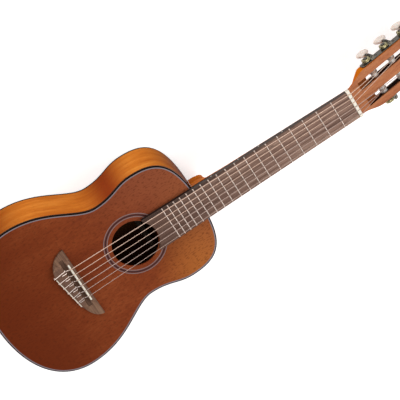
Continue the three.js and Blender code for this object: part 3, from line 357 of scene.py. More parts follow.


# Painted light and shade on the soundboard: darker towards the tail, duller and greyer towards the upper
# bass side, lighter orange towards the upper treble side, where the light falls.
soundboardWood = wood("satin stained mahogany", {  # short open pores under a thin satin lacquer
    "tones": ("#71301a", "#823b1e", "#944a28"), "pore": "#48190a", "draw": 0.3,
    "bandWidth": 30, "streakWidth": 3, "poreWidth": 1.5, "poreFrom": 0.54, "poreDepth": 0.42,
    "stainsAndPaintedLight": [((0, 1, 0), -130, 70, "#62230c", 0.92), ((0.5, 1, 0), 200, 105, "#b2672f", 0.95),
               ((-0.7, 1, 0), 220, 70, "#8a4a32", 0.8)],
    "roughness": 0.42, "gloss": 0.25, "sheen": "#e8a070", "relief": 0.03})
trebleStart = 700  # mm along the UV map, past the bass side's end, so that the two sides differ in grain
# Darker red patches along both sides: painted shade where the sides turn away from the light.
rimPaintedShade = [(128, 76, "#7a2c0c", 0.98), (310, 52, "#883414", 0.96), (450, 84, "#501604", 0.98)]
rimWood = wood("satin orange-stained mahogany", {  # amber stain; the darker red patches along the sides are painted shade where they turn from the light
    "tones": ("#c06620", "#d47a2a", "#e28c38"), "pore": "#a24c14", "grain": 0, "draw": 0.2,
    "coordinates": "UV", "bandWidth": 20, "streakWidth": 6, "streaks": 0.4,
    "poreWidth": 1.2, "poreFrom": 0.58, "poreDepth": 0.3, "roughness": 0.32, "gloss": 0.001,
    "paintedLightAndShade": [((1, 0, 0), centre + start, *rest)
              for start in (0, trebleStart) for centre, *rest in rimPaintedShade]})
backWood = wood("gloss mahogany back", {  # flat-sawn back under clear gloss lacquer; its inner face is darkened as painted shade inside the body
    "tones": ("#8a3f15", "#a3521e", "#b7672b"), "pore": "#67300f", "draw": 0.06,
    "stainsAndPaintedLight": [((0, 0, 1), 2.6, 1.6, "#180e08", 0.92)],
    "bandWidth": 30, "streakWidth": 5, "streaks": 0.4, "poreWidth": 1, "poreDepth": 0.4,
    "roughness": 0.32, "gloss": 0.3, "sheen": "#f0b070"})
neckLook = {  # carved and sanded, amber stain under thin satin lacquer
    "tones": ("#b4540c", "#cc6a10", "#dc801c"), "pore": "#803a10", "draw": 0.06,
    "bandWidth": 18, "streakWidth": 4, "streaks": 0.4, "poreWidth": 0.8, "poreDepth": 0.3,
    "roughness": 0.36, "gloss": 0.002}
# Painted shade: a dark band along the top of the shaft and heel, just under the fretboard. Painted light: a
# lighter orange patch about the heel.
neckWood = wood("satin mahogany neck", neckLook | {
    "stainsAndPaintedLight": [((0, 0, 1), 77.8, 76.2, "#3a2012", 0.85)], "paintedLightAndShade": [((0, 1, 0), 250, 50, "#ea8220", 0.9)]})
# Painted shade on the walls of the slots in the head, the faces that look across them.
slotWallShade = [((1, 0, 0), "#2a130b", 20), ((-1, 0, 0), "#2a130b", 20)]
slotWood = wood("satin mahogany head", neckLook | {  # the slots' walls are painted dark as shade, their ramps brown
    "facing": [((0, 0.47, 0.88), "#8a4a24", 40), *slotWallShade]})
headWood = wood("satin head overlay veneer", {  # pinkish brown face sheet, its slot walls painted dark as shade
    "tones": ("#985434", "#b06a44", "#be7c52"), "pore": "#7a3f28", "draw": 0.05,
    "bandWidth": 16, "streakWidth": 3, "poreWidth": 0.7, "poreDepth": 0.4,
    "roughness": 0.4, "gloss": 0.25, "sheen": "#f0c0a0", "facing": slotWallShade})
fingerboardWood = wood("oiled rosewood", {  # dry grey-brown with long dark streaks
    "tones": ("#523b33", "#907264", "#ae9281"), "pore": "#33221c", "draw": 0.03,
    "bandWidth": 12, "streakWidth": 2.2, "poreWidth": 0.6, "poreFrom": 0.58, "poreDepth": 0.6,
    "stainsAndPaintedLight": [((0, 1, 0), 90, 370, "#4c342b", 0.8), ((1, 0, 0), -21.5, -19, "#2c2422", 0.7)],
    "facing": [((side, 0, 0), "#1a1514", 30) for side in (1, -1)],
    "roughness": 0.5, "gloss": 0.3, "sheen": "#f0d0c0", "relief": 0.03})
bridgeWood = wood("oiled rosewood bridge", {  # the same wood, with painted shade in the groove and along the low sides, and darker on top of the block
    "tones": ("#4a3227", "#7a5a47", "#917058"), "pore": "#33221a", "grain": 0, "draw": 0.04,
    "bandWidth": 8, "streakWidth": 1.8, "poreWidth": 0.6, "poreDepth": 0.55,
    "stainsAndPaintedLight": [((0, 0, 1), 80.65, 81.05, "#4a3428", 0.6), ((0, 0, 1), 86.3, 85.8, "#5f463e", 0.5)],
    "roughness": 0.5, "gloss": 0.3, "sheen": "#f0d0c0", "relief": 0.03})
spruceWood = wood("bare spruce in painted shade", {  # straight narrow growth lines, darkened brown as painted shade inside the body
    "tones": ("#33261a", "#3f3022", "#4a3929"), "pore": "#271c12", "grain": 0, "draw": 0.02,
    "bandWidth": 12, "streakWidth": 1.6, "streaks": 0.7, "poreWidth": 1.2, "poreFrom": 0.66,
    "poreDepth": 0.3, "roughness": 0.75})
blockWood = wood("bare mahogany in painted shade", {  # end grain upwards, darkened brown as painted shade like the rest of the inside
    "tones": ("#382013", "#452a1b", "#523424"), "pore": "#2a180e", "grain": 2, "draw": 0.05,
    "bandWidth": 14, "streakWidth": 3, "poreWidth": 0.9, "poreDepth": 0.4, "roughness": 0.75})

# Deep black-brown edges with hardly a glint, and a thin cool grey line beside them.
bindingPlastic = newFinish("black celluloid binding", Base_Color="#1a0e08", Roughness=0.3,
                           Specular_IOR_Level=0.01)[0]
purflingPlastic = newFinish("pale lilac purfling line", Base_Color="#857a80", Roughness=0.4,
                            Specular_IOR_Level=0.3)[0]
# Bone is creamy, lets a little light in and shines softly; the mouldings are milky white.
bonePlastic = newFinish("polished bone", Base_Color="#ebe3d2", Roughness=0.3, Subsurface_Weight=0.15,
                        Subsurface_Radius=(0.004, 0.003, 0.002), Subsurface_Scale=0.3)[0]
trimPlastic = newFinish("moulded white plastic trim", Base_Color="#dccfbd", Roughness=0.35)[0]
rollerNylon = newFinish("moulded white nylon roller", Base_Color="#dedad4", Roughness=0.3)[0]
# Dark plates with blurred glints, dull yellow gears, and frets with a warm satin line of light.
plateMetal = newFinish("aged nickel-plated steel", Base_Color="#4a463f", Metallic=1, Roughness=0.3)[0]
gearMetal = newFinish("unlacquered brass", Base_Color="#9a916f", Metallic=1, Roughness=0.34)[0]
fretMetal = newFinish("nickel-silver fret wire", Base_Color="#b3a399", Metallic=1, Roughness=0.4)[0]
dotPlastic = newFinish("pearl dot", Base_Color="#c4bdb4", Roughness=0.3)[0]


# The string's own colour over its sounding length, and a paler one where it is tied behind the saddle: a
# painted highlight on the tie wraps.
def tintTied(tree, shader, own, tied):
    source = addNode(tree, "ShaderNodeTexCoord").outputs["Object"]
    along = addNode(tree, "ShaderNodeSeparateXYZ", {0: source}).outputs["Y"]
    color = fade(tree, linear(own), tied, along, (-1 * millimetre, -4 * millimetre), (0, 1))[0]
    tree.links.new(color, shader.inputs["Base Color"])


# Treble strings: one clear thread of nylon, milky from the side.
def nylonFinish():
    made, tree, shader = newFinish("clear nylon monofilament", Roughness=0.25, IOR=1.53,
                                   Transmission_Weight=0.15)
    tintTied(tree, shader, "#c2a597", "#f2dfd4")
    return made


# Bass strings: a floss core wrapped in silvered copper wire; the wrap is drawn coarser than life, to show.
def woundFinish(wrapPitch):
    made, tree, shader = newFinish("silvered wound string", Metallic=0.4, Roughness=0.36)
    tintTied(tree, shader, "#d0b09c", "#f6e2d6")
    source = addNode(tree, "ShaderNodeTexCoord").outputs["UV"]
    wrap = addNode(tree, "ShaderNodeTexWave", {
        "Vector": source, "Scale": 1000 / wrapPitch / 20 * math.pi}, wave_type="BANDS", bands_direction="X")
    bump = addNode(tree, "ShaderNodeBump", {
        "Height": wrap.outputs["Fac"], "Strength": 0.6, "Distance": wrapPitch * 0.3 * millimetre})
    tree.links.new(bump.outputs["Normal"], shader.inputs["Normal"])
    return made


# Pearloid buttons: clouded cream celluloid with paler and pinker swirls, polished.
def pearloidFinish():
    made, tree, shader = newFinish("polished pearloid celluloid", Roughness=0.16, Coat_Weight=0.6,
                                   Coat_Roughness=0.05, Subsurface_Weight=0.3,
                                   Subsurface_Radius=(0.004, 0.003, 0.0025), Subsurface_Scale=0.5)
    source = addNode(tree, "ShaderNodeTexCoord").outputs["Object"]
    cloud = addNode(tree, "ShaderNodeTexNoise", {
        "Vector": source, "Scale": 170, "Detail": 3, "Roughness": 0.6, "Distortion": 2.5})
    color = addNode(tree, "ShaderNodeValToRGB", {"Fac": cloud.outputs["Fac"]}, stops=[
        (0.3, linear("#d6bcab")), (0.7, linear("#f4ebe3")), (0.5, linear("#e8d7ca"))])
    tree.links.new(color.outputs["Color"], shader.inputs["Base Color"])
    return made


pearloid = pearloidFinish()
print("finishes ready")


body = {
    "tail": 126.6, "lowerBout": 44.9, "waist": 71.7, "upperBout": 132.7,
    "lowerHalf": 115.5, "waistHalf": 74.7, "upperHalf": 85.9,
    "tailShares": (0.593, 0.634), "hipShares": (0.508, 0.235),
    "chestShares": (0.49, 0.394), "shoulderShares": (0.69, 0.8),
    "depth": 78, "plate": 2.5, "plateInset": 2.1, "side": 2.2, "rimSteps": 28,
    "topBinding": 4, "backBinding": 4, "binding": 2, "bindingRound": 0.9,
    "topEdge": 1.5, "purflingWidth": 1.4, "purflingDepth": 1.2,
    "holeRadius": 32.2, "holeY": 89.9, "holeEdge": 0.7,
    "rosetteInner": 37.9, "rosetteOuter": 43.6, "rosetteDepth": 1.2, "line": 1.0, "rosetteMiddle": 1.6,
    "inlayRise": 0.03,
}
scaleLength = 433


def fretPlace(number):
    return scaleLength * 2 ** (-np.asarray(number) / 12)


joint = float(fretPlace(14))


def rimStretches():
    low, waist, up = body["lowerHalf"], body["waistHalf"], body["upperHalf"]
    lowY, waistY, upY, tail = -body["lowerBout"], body["waist"], body["upperBout"], body["tail"]
    hip, chest, shoulder = waistY - lowY, upY - waistY, joint - upY
    t, h, c, s = (body[key] for key in ("tailShares", "hipShares", "chestShares", "shoulderShares"))
    return [
        [(0, -tail), (low * t[0], -tail), (low, lowY - (tail + lowY) * t[1]), (low, lowY)],
        [(low, lowY), (low, lowY + hip * h[0]), (waist, waistY - hip * h[1]), (waist, waistY)],
        [(waist, waistY), (waist, waistY + chest * c[0]), (up, upY - chest * c[1]), (up, upY)],
        [(up, upY), (up, upY + shoulder * s[0]), (up * s[1], joint), (0, joint)],
    ]


# The treble half of the outline from tail to neck, moved in by an inset along its normal.
def halfRim(inset, steps=body["rimSteps"]):
    places, tangents = [], []
    for i, handles in enumerate(rimStretches()):
        skip = 1 if i else 0
        places.append(cubic(handles, steps)[skip:])
        tangents.append(cubicTangent(handles, steps)[skip:])
    place, ahead = np.concatenate(places), np.concatenate(tangents)
    moved = place + grid(-ahead[:, 1], ahead[:, 0]) * inset
    moved[[0, -1], 0] = 0
    return moved


def wholeRim(inset, steps=body["rimSteps"]):
    treble = halfRim(inset, steps)
    return np.concatenate([treble, treble[-2:0:-1] * (-1, 1)])


# A band that follows the outline; its section is a closed loop of (inset, height).
def rimBand(section):
    return loft(np.stack([grid(*wholeRim(inset).T, z) for inset, z in section], 1), closed=True)


# One bent side: the section carried along half of the outline, with the grain along it as UV.
def bentSide(side):
    high, low = body["depth"] - body["topBinding"], body["backBinding"]
    section = [(0, low), (body["side"], low), (body["side"], high), (0, high), (0, mix(low, high, 0.5))]
    rings = np.stack([grid(*(halfRim(inset) * (side, 1)).T, z) for inset, z in section], 1)
    run = runAlong(halfRim(0))[:, None] + trebleStart * (side > 0)
    return (*loft(rings), grid(run, [z for _, z in section]).reshape(-1, 2))


for side, name in ((-1, "bass"), (1, "treble")):
    addPiece(f"bent_side_{name}", meshOf(*bentSide(side)), rimWood,
             replaces=[f"side_{name}"])


def roundedSection(inner, low, high, round, atTop):
    angle = np.radians(np.linspace(0, 90, 5))
    edge = [(round * (1 - math.sin(a)), round * (1 - math.cos(a))) for a in angle]
    if atTop:
        corner = [(inset, high - drop) for inset, drop in edge]
        return [(0, low), (inner, low), (inner, high), *corner]
    corner = [(inset, low + rise) for inset, rise in edge[::-1]]
    return [*corner, (inner, low), (inner, high), (0, high)]


topSection = roundedSection(body["topEdge"], body["depth"] - body["topBinding"], body["depth"],
                            body["bindingRound"], True)
backSection = roundedSection(body["binding"], 0, body["backBinding"], body["bindingRound"], False)
addPiece("top_edge_binding", meshOf(*rimBand(topSection)), bindingPlastic,
         replaces=["top_binding"])
addPiece("back_edge_binding", meshOf(*rimBand(backSection)), bindingPlastic,
         replaces=["back_binding"])


# The section of an inlay, a hair proud of the soundboard.
def inlaySection(inner, outer, deep):
    low, high = body["depth"] - deep, body["depth"] + body["inlayRise"]
    return [(inner, low), (outer, low), (outer, high), (inner, high)]


purflingEnd = body["topEdge"] + body["purflingWidth"]
purflingSection = inlaySection(body["topEdge"], purflingEnd, body["purflingDepth"])
addPiece("top_purfling", meshOf(*rimBand(purflingSection)), purflingPlastic)


# The soundboard is rings about the hole's centre: down through the hole's rounded edge, out along the top,
# through the channel for the rosette, and back along the underside.
def soundboardShape(sides=720):
    outline = wholeRim(purflingEnd - 0.3, 60) - (0, body["holeY"])
    order = np.argsort(np.arctan2(outline[:, 1], outline[:, 0]))
    outline = outline[order]
    angle = fullTurn(sides) - math.pi
    reach = np.interp(angle, np.arctan2(outline[:, 1], outline[:, 0]), np.linalg.norm(outline, axis=1),
                      period=2 * math.pi)
    top, under = body["depth"], body["depth"] - body["plate"]
    hole, edge = body["holeRadius"], body["holeEdge"]
    bend = np.radians(np.linspace(0, 90, 5))
    rows = [(hole + edge * (1 - math.cos(a)), 0, top - edge * (1 - math.sin(a))) for a in bend]
    inner, outer, floor = body["rosetteInner"] - 0.1, body["rosetteOuter"] + 0.1, top - body["rosetteDepth"]
    rows += [(inner, 0, top), (inner, 0, floor), (outer, 0, floor), (outer, 0, top)]
    rows += [(outer, share, top) for share in (0.05, 0.5, 1)]
    rows += [(outer, 1, under), (outer, 0.5, under), (hole, 0, under)]
    radius, share, height = (np.array(column)[:, None] for column in zip(*rows))
    r = radius + (reach - radius) * share
    return loft(grid(r * np.cos(angle), body["holeY"] + r * np.sin(angle), height), closed=True)


addPiece("soundboard_plate", meshOf(*soundboardShape()), soundboardWood,
         replaces=["soundboard"])

backEdge = wholeRim(body["plateInset"])
addPiece("back_panel", meshOf(*slab([backEdge], 0, body["plate"], 0.15)), backWood,
         replaces=["back_plate"])


# The rosette: a dark ring in brown wood between two pale lines, by the distance from the hole's centre.
def rosetteFinish():
    made, tree, shader = newFinish("inlaid rosette ring", Roughness=0.4, Specular_IOR_Level=0.15)
    source = addNode(tree, "ShaderNodeTexCoord").outputs["Object"]
    flat = addNode(tree, "ShaderNodeVectorMath", {0: source, 1: (1, 1, 0)}, operation="MULTIPLY").outputs[0]
    centre = (0, body["holeY"] * millimetre, 0)
    away = addNode(tree, "ShaderNodeVectorMath", {0: flat, 1: centre}, operation="DISTANCE").outputs["Value"]
    inner, outer = body["rosetteInner"] * millimetre, body["rosetteOuter"] * millimetre
    share = addNode(tree, "ShaderNodeMapRange", {"Value": away, "From Min": inner, "From Max": outer})
    width = body["rosetteOuter"] - body["rosetteInner"]
    line, middle = body["line"] / width, body["rosetteMiddle"] / width
    bands = addNode(tree, "ShaderNodeValToRGB", {"Fac": share.outputs["Result"]}, stops=[
        (0, linear("#8c7674")), (1 - line, linear("#8c7674")), (line, linear("#6a3424")),
        (0.5 - middle / 2, linear("#2e181c")), (0.5 + middle / 2, linear("#6a3424"))])
    bands.color_ramp.interpolation = "CONSTANT"
    tree.links.new(bands.outputs["Color"], shader.inputs["Base Color"])
    return made


ring = inlaySection(body["rosetteInner"], body["rosetteOuter"], body["rosetteDepth"])
turn = fullTurn(240)
ringRows = np.stack([grid(r * np.cos(turn), body["holeY"] + r * np.sin(turn), z) for r, z in ring])
addPiece("rosette_ring", meshOf(*loft(ringRows, closed=True)), rosetteFinish(),
         replaces=["rosette"])
print("body ready")


neck = {
    "fretCount": 19, "boardHeight": 6, "nutWidth": 42, "lastFretWidth": 50.4, "boardEnd": 113.4,
    "holeMargin": 0.4, "boardEdge": 0.5,
    "fretWidth": 1.9, "fretHeight": 1.1, "fretInset": 0.5, "fretSlope": 1.2,
    "depthAtNut": 15, "depthAtJoint": 17.5, "roundPower": 1.5, "throat": 20, "heelFoot": 8,
    "heelCapHalf": 5.5, "heelCapLength": 20, "heelReach": 60, "heelTopHalf": 19.5, "heelTop": 67.5,
    "sweepPower": 2.2, "flarePower": 1.6, "planPower": 3.636, "blend": 8, "capBlend": 50,
    "nutThickness": 5, "nutHeight": 8.1, "nutBack": 7.4, "nutSlot": 7.6, "nutFlat": 2,
    "sideDots": (5, 7, 9, 12), "dotRadius": 1.0,
}
head = {
    "tilt": 15, "thickness": 14, "half": 29.3, "shoulder": 37, "shoulderShares": (0.38, 0.55),
    "sideEnd": 125, "length": 134, "crestShare": 0.55, "sheet": 1.5, "sheetLift": 0.3,
    "slotHalf": 5.75, "slotFromCentre": 13, "slotStart": 31, "slotEnd": 119.5,
    "rampStart": 15, "rampDepth": 5, "edge": 0.8,
    "undercutWidth": 6.8, "undercutHeight": 13, "undercutStraight": 14.5, "undercutEnd": 30.5,
}
nutY = scaleLength
nutBackY = scaleLength + neck["nutThickness"]
lastFretY = float(fretPlace(neck["fretCount"]))
boardTop = body["depth"] + neck["boardHeight"]


def boardHalf(y):
    share = (nutY - np.asarray(y, float)) / (nutY - lastFretY)
    return mix(neck["nutWidth"], neck["lastFretWidth"], share) / 2


# Shaft and heel as one skin of rays below the neck's top plane. The shaft is a D that fills |x/half|^2 +
# (drop/depth)^power = 1; the heel is a stack of half ovals; the two reaches add up in a high power.
def neckShape(columns=97):
    foot, levels = neck["heelFoot"], np.linspace(0.05, 1, 26)
    wall = neck["heelCapLength"] * np.sin(np.linspace(0, math.pi / 2, 16))
    sweep = mix(neck["heelCapLength"], neck["heelReach"], levels ** neck["sweepPower"])
    shaftRun = np.linspace(neck["heelReach"] + 6, nutY - joint, 24)
    throat = np.linspace(nutY - joint, nutBackY + neck["throat"] - joint, 8)[1:]
    along = np.unique(np.concatenate([wall, sweep, shaftRun, throat])) + 0.3
    t = np.linspace(-1, 1, columns)
    ray = math.pi / 2 * (1 + np.sign(t) * np.abs(t) ** 1.7)
    cos, sin = np.cos(ray)[None], np.maximum(np.sin(ray), 1e-6)[None]
    y = along[:, None] + joint
    onShaft = np.minimum(y, nutY)
    half = boardHalf(onShaft)
    depth = mix(neck["depthAtNut"], neck["depthAtJoint"], (nutY - onShaft) / (nutY - joint))

    def shaftSide(r):
        return (r * cos / half) ** 2 + (r * sin / depth) ** neck["roundPower"] - 1

    def heelSide(r):
        level = np.clip((body["depth"] - r * sin - foot) / (neck["heelTop"] - foot), 0, 1)
        width = mix(neck["heelCapHalf"], neck["heelTopHalf"], level ** neck["flarePower"])
        reach = mix(neck["heelCapLength"], neck["heelReach"], level ** neck["sweepPower"])
        return (r * cos / width) ** 2 + ((along[:, None] - 0.3) / reach) ** neck["planPower"] - 1

    shaftReach, heelReach = (solveReach(side, len(along), columns) for side in (shaftSide, heelSide))
    power = neck["blend"]
    r = (shaftReach ** power + heelReach ** power) ** (1 / power)
    cap, power = (body["depth"] - foot) / sin, neck["capBlend"]
    r = r / (1 + (r / cap) ** power) ** (1 / power)
    fall = np.maximum(y - nutBackY, 0) * math.tan(math.radians(head["tilt"]))
    return loft(grid(r * cos, y, body["depth"] - fall - r * sin))


# The distance along each ray where a function that grows from below zero crosses it, by bisection.
def solveReach(function, rows, columns, farthest=120.0):
    low, high = np.zeros((rows, columns)), np.full((rows, columns), farthest)
    for _ in range(40):
        middle = (low + high) / 2
        inside = function(middle) < 0
        low, high = np.where(inside, middle, low), np.where(inside, high, middle)
    return low


tuner = {
    "places": (45.5, 77.0, 108.5), "depth": 7, "roller": 5, "waist": 4.5, "waistMargin": 0.5, "inner": 3,
    "journal": 2.2, "retainer": 3.2, "retainerHeight": 1.2, "running": 0.25, "plateRound": 3,
    "plateInner": 29.6, "plateOuter": 30.8, "plateHalf": 6, "plateStart": 34.5, "plateEnd": 118.5,
    "ear": 1.2, "earRadius": 3.1, "earOffset": 5.0, "screws": (37.2, 61.3, 92.8), "screwRadius": 1.7,
    "teeth": 14, "module": 0.8, "gearX": 34.2, "gearWidth": 4, "gearTip": 6.24, "gearRoot": 4.8,
    "wormAt": 8.0, "wormCore": 1.6, "wormTip": 3.0, "wormHalf": 4.1, "pitch": 0.8 * math.pi,
    "wormPitchRadius": 2.4, "wormJournal": 1.5, "collar": 2.6, "collarHeight": 1.4, "shank": 1.6,
    "aboveEar": 0.8, "shankInButton": 6.9,
    "buttonStart": 12.3, "buttonLength": 16, "buttonHalf": 9.6, "buttonThick": 3.9,
}
rollerW = -tuner["depth"]  # height of the rollers' axes in the head's own frame

# The head lies flat, x across, v away from the nut and w up, and this places it.
headPlace = (Matrix.Translation((0, nutBackY * millimetre, body["depth"] * millimetre))
             @ Matrix.Rotation(-math.radians(head["tilt"]), 4, "X"))


def inHead(mesh):
    mesh.transform(headPlace)
    return mesh


# A shape made about its own middle, set at its place in the head.
def placed(shape, place):
    points, faces = shape
    return inHead(meshOf(points + place, faces))


def toWorld(points):
    tilt = math.radians(head["tilt"])
    x, v, w = np.asarray(points, float).T
    return grid(x, nutBackY + v * math.cos(tilt) + w * math.sin(tilt),
                body["depth"] - v * math.sin(tilt) + w * math.cos(tilt))


def quadratic(start, handle, end, count):
    t = np.linspace(0, 1, count + 1)[:, None]
    start, handle, end = np.array(start), np.array(handle), np.array(end)
    return (1 - t) ** 2 * start + 2 * t * (1 - t) * handle + t ** 2 * end


def headFlare(count):
    nutHalf, half, end = neck["nutWidth"] / 2, head["half"], head["shoulder"]
    first, second = head["shoulderShares"]
    return cubic([(nutHalf, 0), (nutHalf, end * first), (half, end * second), (half, end)], count)


def headLoops():
    half, end = head["half"], head["length"]
    sides = grid(half, np.linspace(head["shoulder"], head["sideEnd"], 14)[1:-1])
    crest = quadratic((half, head["sideEnd"]), (half * head["crestShare"], end), (0, end), 20)
    right = np.concatenate([headFlare(20), sides, crest])
    loops = [np.concatenate([right, right[-2::-1] * (-1, 1)])]
    for side in (-1, 1):
        radius, turn = head["slotHalf"], np.radians(np.linspace(0, 180, 25))
        upper = grid(radius * np.cos(turn), head["slotEnd"] - radius + radius * np.sin(turn))
        lower = grid(-radius * np.cos(turn), head["slotStart"] + radius - radius * np.sin(turn))
        run = np.concatenate([upper, lower]) + (side * head["slotFromCentre"], 0)
        loops.append(run[::-1])
    return loops


# The floor before each slot slopes down, so that the strings clear it.
def rampTools(grown=0.0):
    start, end = head["rampStart"] - grown, head["slotStart"] + head["slotHalf"]
    side = [(start, -grown), (end, -head["rampDepth"] - grown), (end, 4), (start, 4)]
    half = head["slotHalf"] - 0.05 + grown
    return [loft(np.stack([np.array([(centre + x, v, w) for v, w in side]) for x in (-half, half)]))
            for centre in (-head["slotFromCentre"], head["slotFromCentre"])]


# Behind the nut the lower corners are cut away, and the cut narrows to nothing before the head's full width.
def undercutTools():
    width, height = head["undercutWidth"], head["undercutHeight"]
    straight, end = head["undercutStraight"], head["undercutEnd"]
    v = np.concatenate([[-2], np.linspace(0, straight, 8), np.linspace(straight, end, 9)[1:]])
    inner = np.interp(v, *headFlare(40).T[::-1]) - width * np.minimum(1, (end - v) / (end - straight))
    x = np.stack([inner - 2, inner + width + 2])
    w = -head["thickness"] + (x - inner) * height / width
    corners = [(x[0], w[0]), (x[1], w[1]), (x[1], w[0])]
    return [loft(np.stack([grid(side * across, v, up) for across, up in corners], 1)) for side in (-1, 1)]


def boreTools():
    tools = []
    for side in (-1, 1):
        for v in tuner["places"]:
            start, end = side * (tuner["inner"] - tuner["running"]), side * (head["half"] + 2)
            points, faces = bar(tuner["roller"] + tuner["running"], start, end, 40)
            tools.append((points + (0, v, rollerW), faces))
    return tools


shaftTools = [(toWorld(points), faces) for points, faces in rampTools(0.3)]
addPiece("neck_shaft", carve(meshOf(*neckShape()), shaftTools), neckWood,
         replaces=["neck"], sharp=50)
headTools = rampTools() + boreTools() + undercutTools()
headMesh = carve(meshOf(*slab(headLoops(), -head["thickness"], 0, head["edge"])), headTools)
addPiece("head_wood", inHead(headMesh), slotWood, replaces=["neck"])
sheet = slab(headLoops(), head["sheetLift"] - 0.3, head["sheetLift"] + head["sheet"], 0.5)
addPiece("head_face", inHead(carve(meshOf(*sheet), rampTools())), headWood,
         replaces=["head_veneer"])
print("neck ready")


# The fretboard tapers to the nut, and its low end follows an arc round the soundhole.
def boardLoop():
    radius = body["holeRadius"] + neck["holeMargin"]
    hornX = math.sqrt(radius ** 2 - (neck["boardEnd"] - body["holeY"]) ** 2)
    spread = math.asin(hornX / radius)
    turn = np.linspace(-spread, spread, 41)
    arc = grid(radius * np.sin(turn), body["holeY"] + radius * np.cos(turn))
    run = np.linspace(neck["boardEnd"], nutY, 30)
    right = grid(boardHalf(run), run)
    return np.concatenate([arc, right, right[::-1] * (-1, 1)])


addPiece("fretboard_wood", meshOf(*slab([boardLoop()], body["depth"] + 0.02, boardTop, neck["boardEdge"])),
         fingerboardWood, replaces=["fretboard"])


# Frets: a low half-oval crown, drawn down in a slope at both ends.
def fretShapes():
    angle = np.linspace(0, math.pi, 9)
    crown = grid(np.cos(angle) * neck["fretWidth"] / 2, np.sin(angle) * neck["fretHeight"])
    across, up = np.concatenate([crown, [(-neck["fretWidth"] / 2, -0.5), (neck["fretWidth"] / 2, -0.5)]]).T
    slope, shapes = neck["fretSlope"], []
    for y in fretPlace(np.arange(1, neck["fretCount"] + 1)):
        half = float(boardHalf(y)) - neck["fretInset"]
        stations = [(-half, 0.1), (-half + slope * 0.4, 0.62), (-half + slope, 1), (half - slope, 1),
                    (half - slope * 0.4, 0.62), (half, 0.1)]
        shapes.append(loft(np.stack([grid(x, y + across, boardTop + np.where(up > 0, up * share, up))
                                     for x, share in stations])))
    return together(shapes)


addPiece("fret_wires", meshOf(*fretShapes()), fretMetal, sharp=50)


def sideDotShapes():
    shapes = []
    for number in neck["sideDots"]:
        y = float(fretPlace(number) + fretPlace(number - 1)) / 2
        points, faces = bar(neck["dotRadius"], -0.3, 0.06, 20)
        place = (-float(boardHalf(y)), y, body["depth"] + neck["boardHeight"] / 2)
        shapes.append((points * (-1, 1, 1) + place, faces))
    return together(shapes)


addPiece("side_dots", meshOf(*sideDotShapes()), dotPlastic)

strings = {
    "names": ("sixth", "fifth", "fourth", "third", "second", "first"),
    "diameters": (1.09, 0.89, 0.74, 1.03, 0.82, 0.71), "atSaddle": 47, "atNut": 33, "rest": 0.12,
    "tieSpacing": 0.8, "tieTail": 6, "coilTurns": 2, "coilGap": 0.35, "coilSpacing": 0.6, "coilSteps": 48,
    "sides": 14, "bend": 0.5, "wrapPitch": 0.5,
}


def stringX(index, width):
    return (index / 5 - 0.5) * width


# Nut: the section carried across, with its top eased at the ends (0), whole (1) or cut for a string (2).
def nutShape():
    y0, y1, z0 = nutY, nutBackY - 0.1, body["depth"]
    back, top, slot = z0 + neck["nutBack"], z0 + neck["nutHeight"], z0 + neck["nutSlot"]
    y, z = np.array([(y0, z0), (y1, z0), (y1, back - 0.5), (y1 - 0.4, back), (y0 + neck["nutFlat"], top),
                     (y0 + 0.5, top), (y0, top - 0.5)]).T
    half = neck["nutWidth"] / 2
    stations = [(-half, 0), (-half + 0.3, 1)]
    for i, diameter in enumerate(strings["diameters"]):
        x, reach = stringX(i, strings["atNut"]), diameter / 2 + strings["rest"]
        stations += [(x - reach - 0.02, 1), (x - reach, 2), (x + reach, 2), (x + reach + 0.02, 1)]
    stations += [(half - 0.3, 1), (half, 0)]
    heights = [np.where(z > z0 + 5, z - 0.4, z), z, np.minimum(z, slot)]
    return loft(np.stack([grid(x, y, heights[state]) for x, state in stations]))


addPiece("bone_nut", meshOf(*nutShape()), bonePlastic, replaces=["nut"])
print("fretboard ready")


bridge = {
    "front": 4.8, "bassTip": -50.5, "trebleTip": 59.5, "wing": 3.2, "block": 8.4, "blockHalf": 32,
    "rear": -21.6, "slant": 0.15, "shoulder": 7, "shoulderPower": 1.9,
    "bassWing": ((0.03, 0.48), (0.42, 0.92)), "trebleWing": ((0, 0.6), (0.46, 0.82)),
    "ridge": 6.4, "ridgeFront": -1.4, "ridgeRear": -2.6,
    "groove": 2.6, "tieFront": -8.6, "round": 0.7, "hole": 0.95, "holeHeight": 4.9, "holeRun": (-32, -5),
    "trimWidth": 1.6, "trimHeight": 1.4, "trimEnd": -21,
    "saddleHalf": 1.3, "saddleLength": 61, "saddleTop": 9.13, "saddleLow": 3.9, "saddleCrown": 0.7,
}


def bridgeRear(x):
    return bridge["rear"] + x * bridge["slant"]


def wingEdge(tip, rootX, shares):
    tip, root = np.array((tip, bridge["front"])), np.array((rootX, bridgeRear(rootX)))
    return cubic([tip, *(tip + (root - tip) * np.array(share) for share in shares), root], 40)


